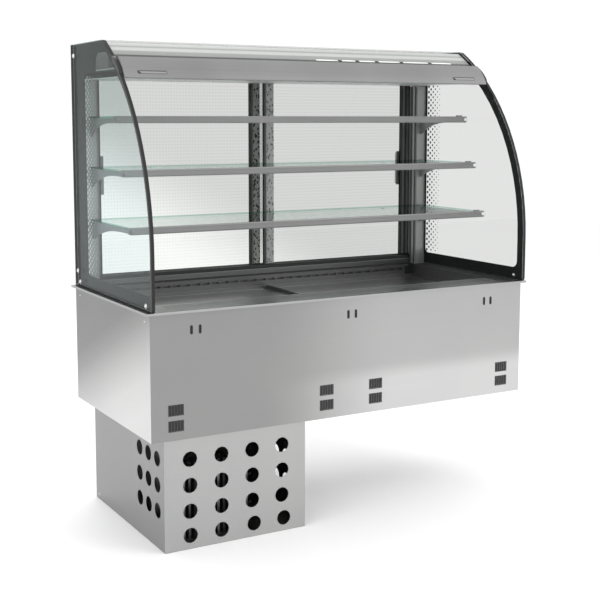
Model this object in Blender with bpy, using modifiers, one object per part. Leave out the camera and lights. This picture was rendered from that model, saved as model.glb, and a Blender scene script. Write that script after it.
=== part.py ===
"""Drop-in refrigerated display case: a glass superstructure with three shelves over a cold well.

Metres, +Z up, customers stand at -Y. The origin is on the underside of the counter flange, in the
middle of its front strip, where the flange rests on the edge of the counter's cut-out.
"""

import math

import bmesh
import bpy
from mathutils import Matrix, Vector

GAP = 0.0003                 # left between pieces that touch
SHEET = 0.0012               # casing and machine box sheet

# Lower casing
BODY_WIDTH = 1.480
BODY_DEPTH = 0.700
BODY_FRONT = 0.007
BODY_BOTTOM = -0.413
BODY_BACK = BODY_FRONT + BODY_DEPTH
HALF = BODY_WIDTH / 2

# Counter flange; its top is the deck that the glass stands on
FLANGE_THICK = 0.002
FLANGE_LIP = 0.005
FLANGE_LIP_THICK = 0.0015
FLANGE_RECESS = 0.0004       # how far the underside rises over the body, clear of its top edges
FLANGE_FRONT = -BODY_FRONT
FLANGE_SIDE = HALF + 0.015
FLANGE_BACK = BODY_BACK + 0.006
DECK = FLANGE_THICK

# Cold well
WELL_HALF = 0.678
WELL_FRONT = 0.053
WELL_BACK = 0.637
WELL_FLOOR = -0.250
TUB_SHEET = 0.0015
TRAY_TOP = -0.054
TRAY_SHEET = 0.0015
TRAY_EDGE = 0.014            # how far a tray's upturned edges stand above its floor
GRILLE_BACK = 0.141
GRILLE_PITCH = 0.012
RISER_FRONT = 0.625

# Machine box under the left end
BOX_LEFT = -HALF + 0.050
BOX_RIGHT = BOX_LEFT + 0.517
BOX_FRONT = BODY_FRONT + 0.020
BOX_BACK = BOX_FRONT + 0.643
BOX_TOP = BODY_BOTTOM - GAP
BOX_BOTTOM = -0.786
BOX_HOLE_RADIUS = 0.0255
BOX_HOLE_PITCH_X = 0.1123
BOX_HOLE_PITCH_Y = 0.075
BOX_HOLE_ROWS = (-0.487, -0.574, -0.660, -0.741)
LAST_ROW_SHIFT = 0.007       # the right half of the lowest row sits a little further right
HOLE_STEPS = 12

# Side panes: vertical at the bottom, then an arc, then a flat top
PANE_THICK = 0.010
PANE_FRONT = BODY_FRONT - 0.022
PANE_TOP = 0.860
PANE_BACK = BODY_BACK - 0.001
ARC_RADIUS = 0.800
ARC_START = 0.168
ARC_STEPS = 16
SEAL = 0.002
PANE_INSIDE = HALF - PANE_THICK

# Rear frame and doors
UPRIGHT_FRONT = BODY_FRONT + 0.596
UPRIGHT_WIDTH = 0.046
JAMB_FRONT = 0.644
JAMB_WIDTH = 0.024
HEADER_BOTTOM = 0.757
HEADER_TOP = 0.852
HEADER_GROOVE = 0.024        # depth of the header's door grooves
TRACK_FRONT = 0.6445
TRACK_BACK = BODY_BACK - 0.006
TRACK_HEIGHT = 0.036
TRACK_FLOOR = 0.006          # floor of the track's grooves above the deck
DOOR_THICK = 0.006
DOOR_BOTTOM = DECK + 0.009
DOOR_TOP = 0.774
INNER_DOOR_Y = BODY_FRONT + 0.650
OUTER_DOOR_Y = BODY_FRONT + 0.675
DOOR_OUTER_X = 0.702
DOOR_OVERLAP = 0.0455
GROOVE = 0.008

# Shelves, top one first: height of the rail's middle and place of its front face
SHELVES = ((0.596, BODY_FRONT + 0.314), (0.421, BODY_FRONT + 0.253), (0.237, BODY_FRONT + 0.196))
RAIL_HEIGHT = 0.024
RAIL_DEPTH = 0.014
RAIL_HALF = 0.721
SHELF_GLASS = 0.006
SHELF_HALF = 0.714
BRACKET_THICK = 0.005
BRACKET_X = 0.703
BRACKET_ROOT = 0.072

# Canopy
CEILING_BOTTOM = 0.733
CEILING_TOP = 0.762
ROOF_THICK = 0.005
ROOF_START = 0.799
FLAP_BOTTOM = (BODY_FRONT + 0.207, 0.730)
FLAP_TOP = (BODY_FRONT + 0.264, 0.799)
FLAP_THICK = 0.012
GRIP_WIDTH = 0.102
GRIP_X = 0.629
FLAP_HINGE = (FLAP_TOP[0] + 0.004, FLAP_TOP[1] - 0.006)

# Cold well's fittings: (x, y) of its holes, and its two fans.
DRAIN = (0.450, 0.330)
PIPE_ENTRY = (-0.440, 0.520)
EVAPORATOR_FANS = ((-0.330, 0.335, -0.156), (0.330, 0.335, -0.156))
EVAPORATOR_FAN_RADIUS = 0.072

# Condensing unit in the machine box.
CONDENSER_FAN = (-0.520, 0.150, -0.610)
CONDENSER_FAN_RADIUS = 0.120
COMPRESSOR = (-0.300, 0.430)
COMPRESSOR_HEIGHT = 0.300
COMPRESSOR_RADIUS = 0.078

# Control panel on the rear casing; the knob and switch are at (x, z).
PANEL_LEFT = -0.620
PANEL_RIGHT = -0.400
PANEL_BOTTOM = -0.150
PANEL_TOP = -0.070
PANEL_THICK = 0.005
KNOB = (-0.560, -0.110)
SWITCH = (-0.460, -0.110)
SWITCH_TILT = math.radians(8)

TAU = 2 * math.pi
FACING = {
    "front": (math.pi / 2, 0, 0),
    "side": (math.pi / 2, 0, math.pi / 2),
    "level": (0, 0, 0),
}

for old in list(bpy.data.objects):
    bpy.data.objects.remove(old)

PARTS = bpy.data.collections.new("refrigerated_deli_case")
CUTTERS = bpy.data.collections.new("cutters")
bpy.context.scene.collection.children.link(PARTS)
bpy.context.scene.collection.children.link(CUTTERS)


# ---------------------------------------------------------------- materials

def finish(name, color, roughness, metallic=0.0, alpha=1.0):
    """A plain Principled material."""
    made = bpy.data.materials.new(name)
    made.use_nodes = True
    shader = made.node_tree.nodes["Principled BSDF"]
    shader.inputs["Base Color"].default_value = (*color, 1)
    shader.inputs["Roughness"].default_value = roughness
    shader.inputs["Metallic"].default_value = metallic
    shader.inputs["Alpha"].default_value = alpha
    return made


STEEL = finish("brushed_steel", (0.62, 0.62, 0.61), 0.35, 1.0)
POLISHED = finish("polished_steel", (0.72, 0.72, 0.71), 0.15, 1.0)
FOAM = finish("foam", (0.80, 0.72, 0.50), 0.90)
GLASS = finish("clear_glass", (0.86, 0.94, 0.92), 0.05, 0.0, 0.35)
GREY = finish("grey_metal", (0.33, 0.33, 0.33), 0.40, 0.6)
DARK = finish("dark_plastic", (0.05, 0.05, 0.05), 0.50)
RUBBER = finish("black_rubber", (0.02, 0.02, 0.02), 0.70)
FIN = finish("aluminium_fin", (0.50, 0.50, 0.52), 0.45, 1.0)
ENAMEL = finish("pale_enamel", (0.85, 0.85, 0.83), 0.35)
COPPER = finish("copper", (0.72, 0.40, 0.26), 0.30, 1.0)


# ---------------------------------------------------------------- helpers

def place(piece, surface, cutter=False):
    """Links a new object, as a part with its material or as a hidden cutter."""
    if cutter:
        CUTTERS.objects.link(piece)
        piece.hide_render = True
        piece.display_type = "WIRE"
    else:
        PARTS.objects.link(piece)
        piece.data.materials.append(surface)
    return piece


def block(name, low, high, surface=None, bevel=0.0, cutter=False):
    """A box between two corners, with its origin at its centre."""
    low = Vector(low)
    high = Vector(high)
    shape = bmesh.new()
    bmesh.ops.create_cube(shape, size=1)
    bmesh.ops.scale(shape, vec=high - low, verts=shape.verts)
    mesh = bpy.data.meshes.new(name)
    shape.to_mesh(mesh)
    shape.free()
    piece = bpy.data.objects.new(name, mesh)
    piece.location = (low + high) / 2
    place(piece, surface, cutter)
    if bevel:
        rounding = piece.modifiers.new("rounding", "BEVEL")
        rounding.width = bevel
        rounding.segments = 2
        rounding.limit_method = "ANGLE"
    return piece


def open_box(name, low, high, thickness, surface):
    """An open-topped box of sheet, whose walls lie inside its two corners."""
    low = Vector(low)
    high = Vector(high)
    shape = bmesh.new()
    bmesh.ops.create_cube(shape, size=1)
    bmesh.ops.scale(shape, vec=high - low, verts=shape.verts)
    lid = [face for face in shape.faces if face.normal.z > 0.5]
    bmesh.ops.delete(shape, geom=lid, context="FACES")
    mesh = bpy.data.meshes.new(name)
    shape.to_mesh(mesh)
    shape.free()
    piece = bpy.data.objects.new(name, mesh)
    piece.location = (low + high) / 2
    wall = piece.modifiers.new("wall", "SOLIDIFY")
    wall.thickness = thickness
    wall.offset = -1
    wall.use_even_offset = True
    return place(piece, surface)


def rod(name, centre, radius, length, axis, steps=20):
    """A round cutter, or a round bar to be joined to a piece, along Y or Z."""
    shape = bmesh.new()
    bmesh.ops.create_cone(
        shape, cap_ends=True, segments=steps, radius1=radius, radius2=radius, depth=length
    )
    mesh = bpy.data.meshes.new(name)
    shape.to_mesh(mesh)
    shape.free()
    piece = bpy.data.objects.new(name, mesh)
    if axis == "Y":
        piece.rotation_euler.x = math.pi / 2
    piece.location = centre
    return place(piece, None, cutter=True)


def flat_piece(name, loops, thickness, facing, middle, surface):
    """A piece cut from sheet. The first loop is its outline and the others are holes.

    A front piece's loops are (x, z), a side piece's (y, z) and a level piece's (x, y); middle is
    where the middle of its thickness lies on the remaining axis.
    """
    curve = bpy.data.curves.new(name, "CURVE")
    curve.dimensions = "2D"
    curve.fill_mode = "BOTH"
    curve.extrude = thickness / 2
    for loop in loops:
        spline = curve.splines.new("POLY")
        spline.points.add(len(loop) - 1)
        for point, (u, v) in zip(spline.points, loop):
            point.co = (u, v, 0, 1)
        spline.use_cyclic_u = True
    piece = bpy.data.objects.new(name, curve)
    piece.rotation_euler = FACING[facing]
    piece.location["xyz".index({"front": "y", "side": "x", "level": "z"}[facing])] = middle
    return place(piece, surface)


def turned(name, profile, location, surface, steps=24):
    """A turned piece: its profile of (radius, height) runs down its outer side."""
    mesh = bpy.data.meshes.new(name)
    rows = [(radius, 0, height) for radius, height in profile]
    mesh.from_pydata(rows, [(i, i + 1) for i in range(len(rows) - 1)], [])
    piece = bpy.data.objects.new(name, mesh)
    piece.location = location
    screw = piece.modifiers.new("turning", "SCREW")
    screw.steps = steps
    screw.render_steps = steps
    screw.use_merge_vertices = True
    screw.merge_threshold = 0.00001
    return place(piece, surface)


def tube(name, route, radius, surface):
    """A pipe along a route of points, with rounded bends and filled ends."""
    curve = bpy.data.curves.new(name, "CURVE")
    curve.dimensions = "3D"
    curve.bevel_depth = radius
    curve.bevel_resolution = 2
    curve.use_fill_caps = True
    spline = curve.splines.new("POLY")
    points = rounded_route([Vector(p) for p in route], radius * 4)
    spline.points.add(len(points) - 1)
    for point, co in zip(spline.points, points):
        point.co = (*co, 1)
    return place(bpy.data.objects.new(name, curve), surface)


def rounded_route(corners, bend):
    """The route with each inner corner replaced by a short curve of four points."""
    points = [corners[0]]
    for before, corner, after in zip(corners, corners[1:], corners[2:]):
        start = corner + (before - corner).normalized() * bend
        end = corner + (after - corner).normalized() * bend
        for step in range(4):
            t = step / 3
            points.append(start * (1 - t) ** 2 + corner * 2 * t * (1 - t) + end * t * t)
    points.append(corners[-1])
    return points


def as_mesh(piece):
    """Turns a curve piece into a welded mesh piece with the same name, so that it can be cut."""
    name = piece.name
    bpy.context.view_layer.update()
    seen = piece.evaluated_get(bpy.context.evaluated_depsgraph_get())
    mesh = bpy.data.meshes.new_from_object(seen)
    shape = bmesh.new()
    shape.from_mesh(mesh)
    bmesh.ops.remove_doubles(shape, verts=shape.verts, dist=0.00001)
    shape.to_mesh(mesh)
    shape.free()
    matrix = piece.matrix_world.copy()
    bpy.data.objects.remove(piece)
    made = bpy.data.objects.new(name, mesh)
    made.matrix_world = matrix
    PARTS.objects.link(made)
    return made


def combine(piece, other, operation="DIFFERENCE"):
    """Cuts another shape from a piece, or joins it to the piece."""
    step = piece.modifiers.new(other.name, "BOOLEAN")
    step.operation = operation
    step.solver = "EXACT"
    step.object = other
    return piece


def smooth(piece, angle=40):
    """Shades a mesh smooth except at its sharp edges."""
    piece.data.shade_smooth()
    piece.data.set_sharp_from_angle(angle=math.radians(angle))
    return piece


def rectangle(u0, v0, u1, v1):
    return [(u0, v0), (u1, v0), (u1, v1), (u0, v1)]


def circle(u, v, radius, steps=HOLE_STEPS):
    return [
        (u + radius * math.cos(TAU * i / steps), v + radius * math.sin(TAU * i / steps))
        for i in range(steps)
    ]


def slot(u, v, width, height, steps=4):
    """An upright slot with round ends."""
    radius = width / 2
    reach = height / 2 - radius
    points = []
    for i in range(steps + 1):
        angle = math.pi * i / steps
        points.append((u + radius * math.cos(angle), v + reach + radius * math.sin(angle)))
    for i in range(steps + 1):
        angle = math.pi + math.pi * i / steps
        points.append((u + radius * math.cos(angle), v - reach + radius * math.sin(angle)))
    return points


def arc_point(height, inset=0.0):
    """(y, z) on the pane's curved front edge, or on a line inset from it, at a height."""
    radius = ARC_RADIUS - inset
    rise = height - ARC_START
    y_centre = PANE_FRONT + ARC_RADIUS
    return y_centre - math.sqrt(radius * radius - rise * rise), height


def arc_run(bottom, top, inset=0.0, steps=ARC_STEPS):
    """Points up the curved front edge, evenly spaced by angle."""
    radius = ARC_RADIUS - inset
    first = math.asin((bottom - ARC_START) / radius)
    last = math.asin((top - ARC_START) / radius)
    angles = [first + (last - first) * i / steps for i in range(steps + 1)]
    y_centre = PANE_FRONT + ARC_RADIUS
    return [
        (y_centre - radius * math.cos(a), ARC_START + radius * math.sin(a)) for a in angles
    ]


# ---------------------------------------------------------------- casing

def vent_slits(centre_x):
    """Two grilles of upright slits, one above the other."""
    slits = []
    for middle in (-0.315, -0.3665):
        for i in range(5):
            u = centre_x + (i - 2) * 0.010
            slits.append(rectangle(u - 0.003, middle - 0.016, u + 0.003, middle + 0.016))
    return slits


def make_casing():
    top = -GAP
    holes = []
    for from_left in (0.156, 0.740, 1.324):
        for side in (-1, 1):
            holes.append(slot(-HALF + from_left + side * 0.015, -0.062, 0.007, 0.026))
    for from_left in (0.085, 0.640, 0.838, 1.394):
        holes += vent_slits(-HALF + from_left)
    outline = rectangle(-HALF, BODY_BOTTOM, HALF, top)
    flat_piece("casing_front", [outline] + holes, SHEET, "front", BODY_FRONT + SHEET / 2, STEEL)
    flat_piece("casing_back", [outline], SHEET, "front", BODY_BACK - SHEET / 2, STEEL)
    side = rectangle(BODY_FRONT + SHEET + GAP, BODY_BOTTOM, BODY_BACK - SHEET - GAP, top)
    flat_piece("casing_left", [side], SHEET, "side", -HALF + SHEET / 2, STEEL)
    flat_piece("casing_right", [side], SHEET, "side", HALF - SHEET / 2, STEEL)
    inset = SHEET + GAP
    floor = rectangle(-HALF + inset, BODY_FRONT + inset, HALF - inset, BODY_BACK - inset)
    shaft = rectangle(BOX_LEFT + 0.03, BOX_FRONT + 0.03, BOX_RIGHT - 0.03, BOX_BACK - 0.03)
    drain = circle(DRAIN[0], DRAIN[1], 0.018)
    flat_piece(
        "casing_base", [floor, shaft, drain], SHEET, "level", BODY_BOTTOM + SHEET / 2, STEEL
    )


def make_flange():
    low = (-FLANGE_SIDE, FLANGE_FRONT, -FLANGE_LIP)
    high = (FLANGE_SIDE, FLANGE_BACK, FLANGE_THICK)
    flange = block("counter_flange", low, high, POLISHED)
    edge = FLANGE_LIP_THICK
    below = block(
        "flange_underside",
        (low[0] + edge, low[1] + edge, low[2] - 0.01),
        (high[0] - edge, high[1] - edge, 0),
        cutter=True,
    )
    over_body = block(
        "flange_recess",
        (-HALF - GAP, BODY_FRONT - GAP, -0.01),
        (HALF + GAP, BODY_BACK + GAP, FLANGE_RECESS),
        cutter=True,
    )
    opening = block(
        "flange_opening",
        (-WELL_HALF + 0.002, WELL_FRONT - 0.001, -0.02),
        (WELL_HALF - 0.002, WELL_BACK + 0.001, 0.02),
        cutter=True,
    )
    combine(flange, below)
    combine(flange, over_body)
    combine(flange, opening)


# ---------------------------------------------------------------- cold well

def make_tub():
    """The liner: an open-topped box of sheet with a drain hole and a pipe hole."""
    low = (-WELL_HALF - TUB_SHEET, WELL_FRONT - TUB_SHEET, WELL_FLOOR - TUB_SHEET)
    high = (WELL_HALF + TUB_SHEET, WELL_BACK + TUB_SHEET, -GAP)
    tub = open_box("tub", low, high, TUB_SHEET, STEEL)
    combine(tub, rod("tub_drain", (*DRAIN, WELL_FLOOR), 0.012, 0.05, "Z"))
    combine(tub, rod("tub_pipe_hole", (*PIPE_ENTRY, WELL_FLOOR), 0.010, 0.05, "Z"))


def make_insulation():
    inset = SHEET + 2 * GAP
    foam_bottom = WELL_FLOOR - 0.040
    foam = block(
        "insulation",
        (-HALF + inset, BODY_FRONT + inset, foam_bottom),
        (HALF - inset, BODY_BACK - inset, -2 * GAP),
        FOAM,
    )
    room = TUB_SHEET + GAP
    hollow = block(
        "foam_hollow",
        (-WELL_HALF - room, WELL_FRONT - room, WELL_FLOOR - room),
        (WELL_HALF + room, WELL_BACK + room, 0.02),
        cutter=True,
    )
    combine(foam, hollow)
    combine(foam, rod("foam_drain", (*DRAIN, foam_bottom), 0.018, 0.12, "Z"))
    combine(foam, rod("foam_pipe", (*PIPE_ENTRY, foam_bottom), 0.010, 0.12, "Z"))


def make_return_grille():
    """The comb-slotted plate between the sill and the trays, with its slots front to back."""
    half = WELL_HALF - 0.004
    front = WELL_FRONT + 0.001
    slots = []
    count = int((2 * half - 0.04) / GRILLE_PITCH)
    for i in range(count):
        u = (i - (count - 1) / 2) * GRILLE_PITCH
        slots.append(rectangle(u - 0.003, front + 0.008, u + 0.003, GRILLE_BACK - 0.012))
    outline = rectangle(-half, front, half, GRILLE_BACK)
    flat_piece("return_grille", [outline] + slots, 0.002, "level", DECK - 0.0035, STEEL)


def make_trays():
    """Two deck trays: shallow pans with upturned edges that lift out of the well."""
    span = WELL_HALF - 0.004
    for name, x0, x1 in (("deck_tray_left", -span, -0.001), ("deck_tray_right", 0.001, span)):
        low = (x0, GRILLE_BACK + 0.002, TRAY_TOP - TRAY_SHEET)
        high = (x1, RISER_FRONT - 0.003, TRAY_TOP + TRAY_EDGE)
        open_box(name, low, high, TRAY_SHEET, STEEL)


def make_air_panel():
    """The rear riser of the well, with a row of slots that the cold air leaves by."""
    half = WELL_HALF - 0.014
    slots = []
    count = 32
    for i in range(count):
        u = (i - (count - 1) / 2) * 0.040
        slots.append(rectangle(u - 0.016, -0.022, u + 0.016, -0.014))
    outline = rectangle(-half, TRAY_TOP - 0.010, half, DECK - 0.003)
    flat_piece("rear_air_panel", [outline] + slots, 0.002, "front", RISER_FRONT + 0.001, STEEL)


def make_evaporator():
    """A fin block on the well's floor: upright fins along X, joined at their bottom."""
    fins = 34
    pitch = 0.034
    start = -(fins - 1) * pitch / 2
    base = WELL_FLOOR + 0.004
    outline = [(start - 0.005, base), (start + (fins - 1) * pitch + 0.005, base)]
    for i in reversed(range(fins)):
        u = start + i * pitch
        outline.append((u + 0.005, -0.090))
        outline.append((u - 0.005, -0.090))
        if i:
            outline.append((u - 0.005, base + 0.012))
            outline.append((u - pitch + 0.005, base + 0.012))
    flat_piece("evaporator_coil", [outline], 0.180, "front", 0.480, FIN)


def fan_outline(radius, hub, blades):
    """A rotor seen along its axis: blades with curved edges round a hub."""
    outline = []
    for blade in range(blades):
        middle = TAU * blade / blades
        half = math.pi / blades * 0.70
        tip = math.pi / blades * 0.72
        for r, angle in (
            (hub, middle - half * 0.8),
            ((hub + radius) / 2, middle - half * 0.9),
            (radius, middle - tip * 0.8),
            (radius, middle - tip * 0.3),
            (radius, middle + tip * 0.3),
            (radius, middle + tip * 0.8),
            ((hub + radius) / 2, middle + half * 0.9),
            (hub, middle + half * 0.8),
        ):
            outline.append((r * math.cos(angle), r * math.sin(angle)))
    return outline


def make_fan(name, centre, radius, blades=5):
    """A fan rotor that turns about Y, with pitched blades and a solid hub."""
    hub = radius * 0.34
    rotor = as_mesh(flat_piece(name, [fan_outline(radius, hub, blades)], 0.003, "level", 0, DARK))
    for vertex in rotor.data.vertices:
        r = math.hypot(vertex.co.x, vertex.co.y)
        blade_angle = TAU / blades
        around = math.atan2(vertex.co.y, vertex.co.x)
        off_middle = (around + blade_angle / 2) % blade_angle - blade_angle / 2
        vertex.co.z += 0.45 * off_middle * max(r - hub, 0)
    smooth(rotor)
    rotor.rotation_euler = (math.pi / 2, 0, 0)
    rotor.location = centre
    middle = rod(name + "_hub", centre, hub * 1.02, 0.022, "Y")
    combine(rotor, middle, "UNION")


def make_baffle():
    """The upright plate in the well that holds two fan motors on three-armed spiders."""
    half = WELL_HALF - 0.012
    holes = [
        circle(x, z, EVAPORATOR_FAN_RADIUS + 0.005, 24) for x, _, z in EVAPORATOR_FANS
    ]
    outline = rectangle(-half, WELL_FLOOR + 0.003, half, TRAY_TOP - 0.004)
    baffle = flat_piece("fan_baffle", [outline] + holes, 0.002, "front", 0.352, STEEL)
    baffle = as_mesh(baffle)
    for i, (x, _, z) in enumerate(EVAPORATOR_FANS):
        reach = EVAPORATOR_FAN_RADIUS + 0.010
        arm = block(
            f"spider_{i}", (x - reach, 0.3505, z - 0.006), (x + reach, 0.3535, z + 0.006), cutter=True
        )
        motor = rod(f"motor_{i}", (x, 0.364, z), 0.022, 0.030, "Y")
        combine(baffle, arm, "UNION")
        combine(baffle, motor, "UNION")


def make_drain():
    """The drain pipe with its valve body, and the lever that turns a quarter turn."""
    top = WELL_FLOOR - TUB_SHEET - GAP
    bottom = BODY_BOTTOM - 0.060
    valve = BODY_BOTTOM - 0.030
    profile = [
        (0.0085, top), (0.0135, top), (0.0135, valve + 0.018), (0.0200, valve + 0.016),
        (0.0200, valve - 0.016), (0.0135, valve - 0.018), (0.0135, bottom), (0.0085, bottom),
        (0.0085, top),
    ]
    turned("drain_pipe", profile, (*DRAIN, 0), ENAMEL, steps=20)
    face = DRAIN[1] - 0.0200 - GAP
    lever = block(
        "drain_lever",
        (DRAIN[0] - 0.008, face - 0.012, valve - 0.008),
        (DRAIN[0] + 0.070, face - 0.008, valve + 0.008),
        RUBBER,
    )
    lever.data.transform(Matrix.Translation(lever.location - Vector((DRAIN[0], face, valve))))
    lever.location = (DRAIN[0], face, valve)
    stem = rod(
        "lever_stem", (DRAIN[0], face - 0.006, valve), 0.006, 0.012, "Y", steps=12
    )
    combine(lever, stem, "UNION")


# ---------------------------------------------------------------- machine box

def box_holes(first, pitch, columns, rows):
    holes = []
    for row in range(rows):
        for column in range(columns):
            shift = LAST_ROW_SHIFT if row == 3 and column > 1 else 0
            holes.append(
                circle(first + pitch * column + shift, BOX_HOLE_ROWS[row], BOX_HOLE_RADIUS)
            )
    return holes


def make_machine_box():
    inset = SHEET + GAP
    wide = rectangle(BOX_LEFT, BOX_BOTTOM, BOX_RIGHT, BOX_TOP)
    middle = (BOX_LEFT + BOX_RIGHT) / 2
    wide_holes = box_holes(middle - 1.5 * BOX_HOLE_PITCH_X, BOX_HOLE_PITCH_X, 4, 4)
    deep = rectangle(BOX_FRONT + inset, BOX_BOTTOM, BOX_BACK - inset, BOX_TOP)
    deep_holes = box_holes(BOX_FRONT + 0.058, BOX_HOLE_PITCH_Y, 3, 3)
    flat_piece("machine_front", [wide] + wide_holes, SHEET, "front", BOX_FRONT + SHEET / 2, STEEL)
    flat_piece("machine_back", [wide], SHEET, "front", BOX_BACK - SHEET / 2, STEEL)
    flat_piece("machine_left", [deep] + deep_holes, SHEET, "side", BOX_LEFT + SHEET / 2, STEEL)
    flat_piece("machine_right", [deep] + deep_holes, SHEET, "side", BOX_RIGHT - SHEET / 2, STEEL)
    block(
        "machine_base",
        (BOX_LEFT + inset, BOX_FRONT + inset, BOX_BOTTOM),
        (BOX_RIGHT - inset, BOX_BACK - inset, BOX_BOTTOM + 0.002),
        STEEL,
    )


def make_condensing_unit():
    floor = BOX_BOTTOM + 0.002 + GAP
    x, y, z = CONDENSER_FAN
    reach = 0.145
    fins = 14
    pitch = 2 * reach / fins
    top = z + 0.100
    bottom = floor + 0.005
    outline = [(x - reach, bottom), (x + reach, bottom)]
    for i in range(fins):
        u = x + reach - i * pitch
        outline.append((u, top))
        outline.append((u - pitch * 0.4, top))
        if i < fins - 1:
            outline.append((u - pitch * 0.4, bottom + 0.012))
            outline.append((u - pitch, bottom + 0.012))
    outline.append((x - reach, top))
    flat_piece("condenser_coil", [outline], 0.045, "front", 0.085, FIN)
    plate = rectangle(x - reach, floor, x + reach, z + 0.135)
    ring = circle(x, z, CONDENSER_FAN_RADIUS + 0.006, 28)
    shroud = as_mesh(flat_piece("fan_shroud", [plate, ring], 0.040, "front", 0.140, DARK))
    motor = rod("shroud_motor", (x, 0.186, z), 0.030, 0.040, "Y")
    arm = block(
        "shroud_arm", (x - reach, 0.1585, z - 0.010), (x + reach, 0.1685, z + 0.010), cutter=True
    )
    foot = block(
        "shroud_foot", (x - reach, 0.125, floor), (x - reach + 0.01, 0.1685, z + 0.010), cutter=True
    )
    combine(shroud, arm, "UNION")
    combine(shroud, motor, "UNION")
    combine(shroud, foot, "UNION")
    make_fan("condenser_fan", (x, 0.140, z), CONDENSER_FAN_RADIUS)

    shell = [
        (0, 0.300), (0.030, 0.297), (0.055, 0.285), (0.072, 0.262), (COMPRESSOR_RADIUS, 0.235),
        (COMPRESSOR_RADIUS, 0.160), (0.082, 0.158), (0.082, 0.148), (COMPRESSOR_RADIUS, 0.146),
        (COMPRESSOR_RADIUS, 0.060), (0.070, 0.035), (0.050, 0.020), (0.050, 0), (0, 0),
    ]
    turned("compressor", shell, (*COMPRESSOR, floor), ENAMEL)
    make_refrigerant_lines(floor, top)


def make_refrigerant_lines(floor, coil_top):
    """The hot line from the compressor to the coil, and the cold line down from the well."""
    cx, cy = COMPRESSOR
    coil_x = CONDENSER_FAN[0] + 0.10
    coil_y = 0.085
    above = floor + COMPRESSOR_HEIGHT + GAP
    over = above + 0.030
    tube(
        "discharge_line",
        [
            (cx, cy, above), (cx, cy, over), (coil_x, cy, over),
            (coil_x, coil_y, over), (coil_x, coil_y, coil_top + GAP),
        ],
        0.005,
        COPPER,
    )
    back = cy + COMPRESSOR_RADIUS + GAP
    inlet = floor + 0.20
    loft = BODY_BOTTOM + 0.045
    tube(
        "suction_line",
        [
            (cx, back, inlet), (cx, back + 0.060, inlet), (cx, back + 0.060, loft),
            (*PIPE_ENTRY, loft), (*PIPE_ENTRY, WELL_FLOOR + 0.004 - GAP),
        ],
        0.007,
        COPPER,
    )


# ---------------------------------------------------------------- controls

def make_controls():
    back = BODY_BACK + GAP
    outline = rectangle(PANEL_LEFT, PANEL_BOTTOM, PANEL_RIGHT, PANEL_TOP)
    window = rectangle(SWITCH[0] - 0.0110, SWITCH[1] - 0.0160, SWITCH[0] + 0.0110, SWITCH[1] + 0.0160)
    flat_piece(
        "control_panel", [outline, window], PANEL_THICK, "front", back + PANEL_THICK / 2, DARK
    )
    front = back + PANEL_THICK + GAP
    profile = [(0, 0.016), (0.015, 0.016), (0.0165, 0.014), (0.018, 0.002), (0.018, 0), (0, 0)]
    knob = turned("thermostat_knob", profile, (KNOB[0], front, KNOB[1]), ENAMEL)
    knob.rotation_euler = (-math.pi / 2, 0, 0)
    low = Vector((-0.0100, -0.0035, -0.0145))
    rocker = block("power_switch", low, -low, RUBBER)
    rocker.rotation_euler = (SWITCH_TILT, 0, 0)
    rocker.location = (SWITCH[0], back + 0.006, SWITCH[1])
    gland = [
        (0, 0.014), (0.008, 0.014), (0.0095, 0.010), (0.0095, 0.005), (0.013, 0.0045),
        (0.013, 0), (0, 0),
    ]
    where = (BOX_RIGHT - 0.060, BOX_BACK + GAP, BOX_BOTTOM + 0.075)
    inlet = turned("cable_gland", gland, where, RUBBER, steps=16)
    inlet.rotation_euler = (-math.pi / 2, 0, 0)


# ---------------------------------------------------------------- superstructure

def pane_outline(inset, bottom):
    """The side pane's outline: vertical front, arc, flat top, vertical back."""
    front = PANE_FRONT + inset
    top = PANE_TOP - inset
    arc = arc_run(ARC_START, top - 0.006, inset)
    y_top, _ = arc_point(top - 0.006, inset)
    corner = [(y_top + 0.008, top - 0.0015), (y_top + 0.018, top)]
    return [(PANE_BACK, bottom), (PANE_BACK, top)] + list(
        reversed([(front + 0.008, bottom), (front, bottom + 0.008)] + arc + corner)
    )


def make_side(side, word):
    middle = side * (HALF - PANE_THICK / 2)
    bottom = DECK + SEAL + 2 * GAP
    inset = SEAL + GAP
    pane = pane_outline(inset, bottom)
    flat_piece(f"side_pane_{word}", [pane], PANE_THICK, "side", middle, GLASS)
    outer = [(PANE_FRONT + 0.010, DECK + GAP), (PANE_FRONT, DECK + GAP + 0.010)]
    outer += arc_run(ARC_START, PANE_TOP - 0.006)
    inner = arc_run(ARC_START, PANE_TOP - 0.006, SEAL)
    inner_bottom = DECK + GAP + SEAL
    strip = (
        outer
        + list(reversed(inner))
        + [
            (PANE_FRONT + SEAL, DECK + GAP + 0.0105),
            (PANE_FRONT + 0.0105, inner_bottom),
            (PANE_BACK, inner_bottom),
            (PANE_BACK, DECK + GAP),
        ]
    )
    flat_piece(f"pane_seal_{word}", [strip], PANE_THICK, "side", middle, RUBBER)

    outside = side * (PANE_INSIDE - GAP)
    inside = side * (PANE_INSIDE - GAP - UPRIGHT_WIDTH)
    jamb = side * (PANE_INSIDE - GAP - JAMB_WIDTH)
    wall = 0.0025 * side
    shell = [
        (outside, UPRIGHT_FRONT), (inside, UPRIGHT_FRONT), (inside, JAMB_FRONT),
        (jamb, JAMB_FRONT), (jamb, TRACK_BACK), (outside, TRACK_BACK),
    ]
    thick = abs(wall)
    hollow = [
        (outside - wall, UPRIGHT_FRONT + thick), (inside + wall, UPRIGHT_FRONT + thick),
        (inside + wall, JAMB_FRONT - thick), (jamb + wall, JAMB_FRONT - thick),
        (jamb + wall, TRACK_BACK - thick), (outside - wall, TRACK_BACK - thick),
    ]
    low = DECK + GAP
    high = CEILING_BOTTOM - GAP
    flat_piece(
        f"upright_{word}", [shell, hollow], high - low, "level", (low + high) / 2, GREY
    )


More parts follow.
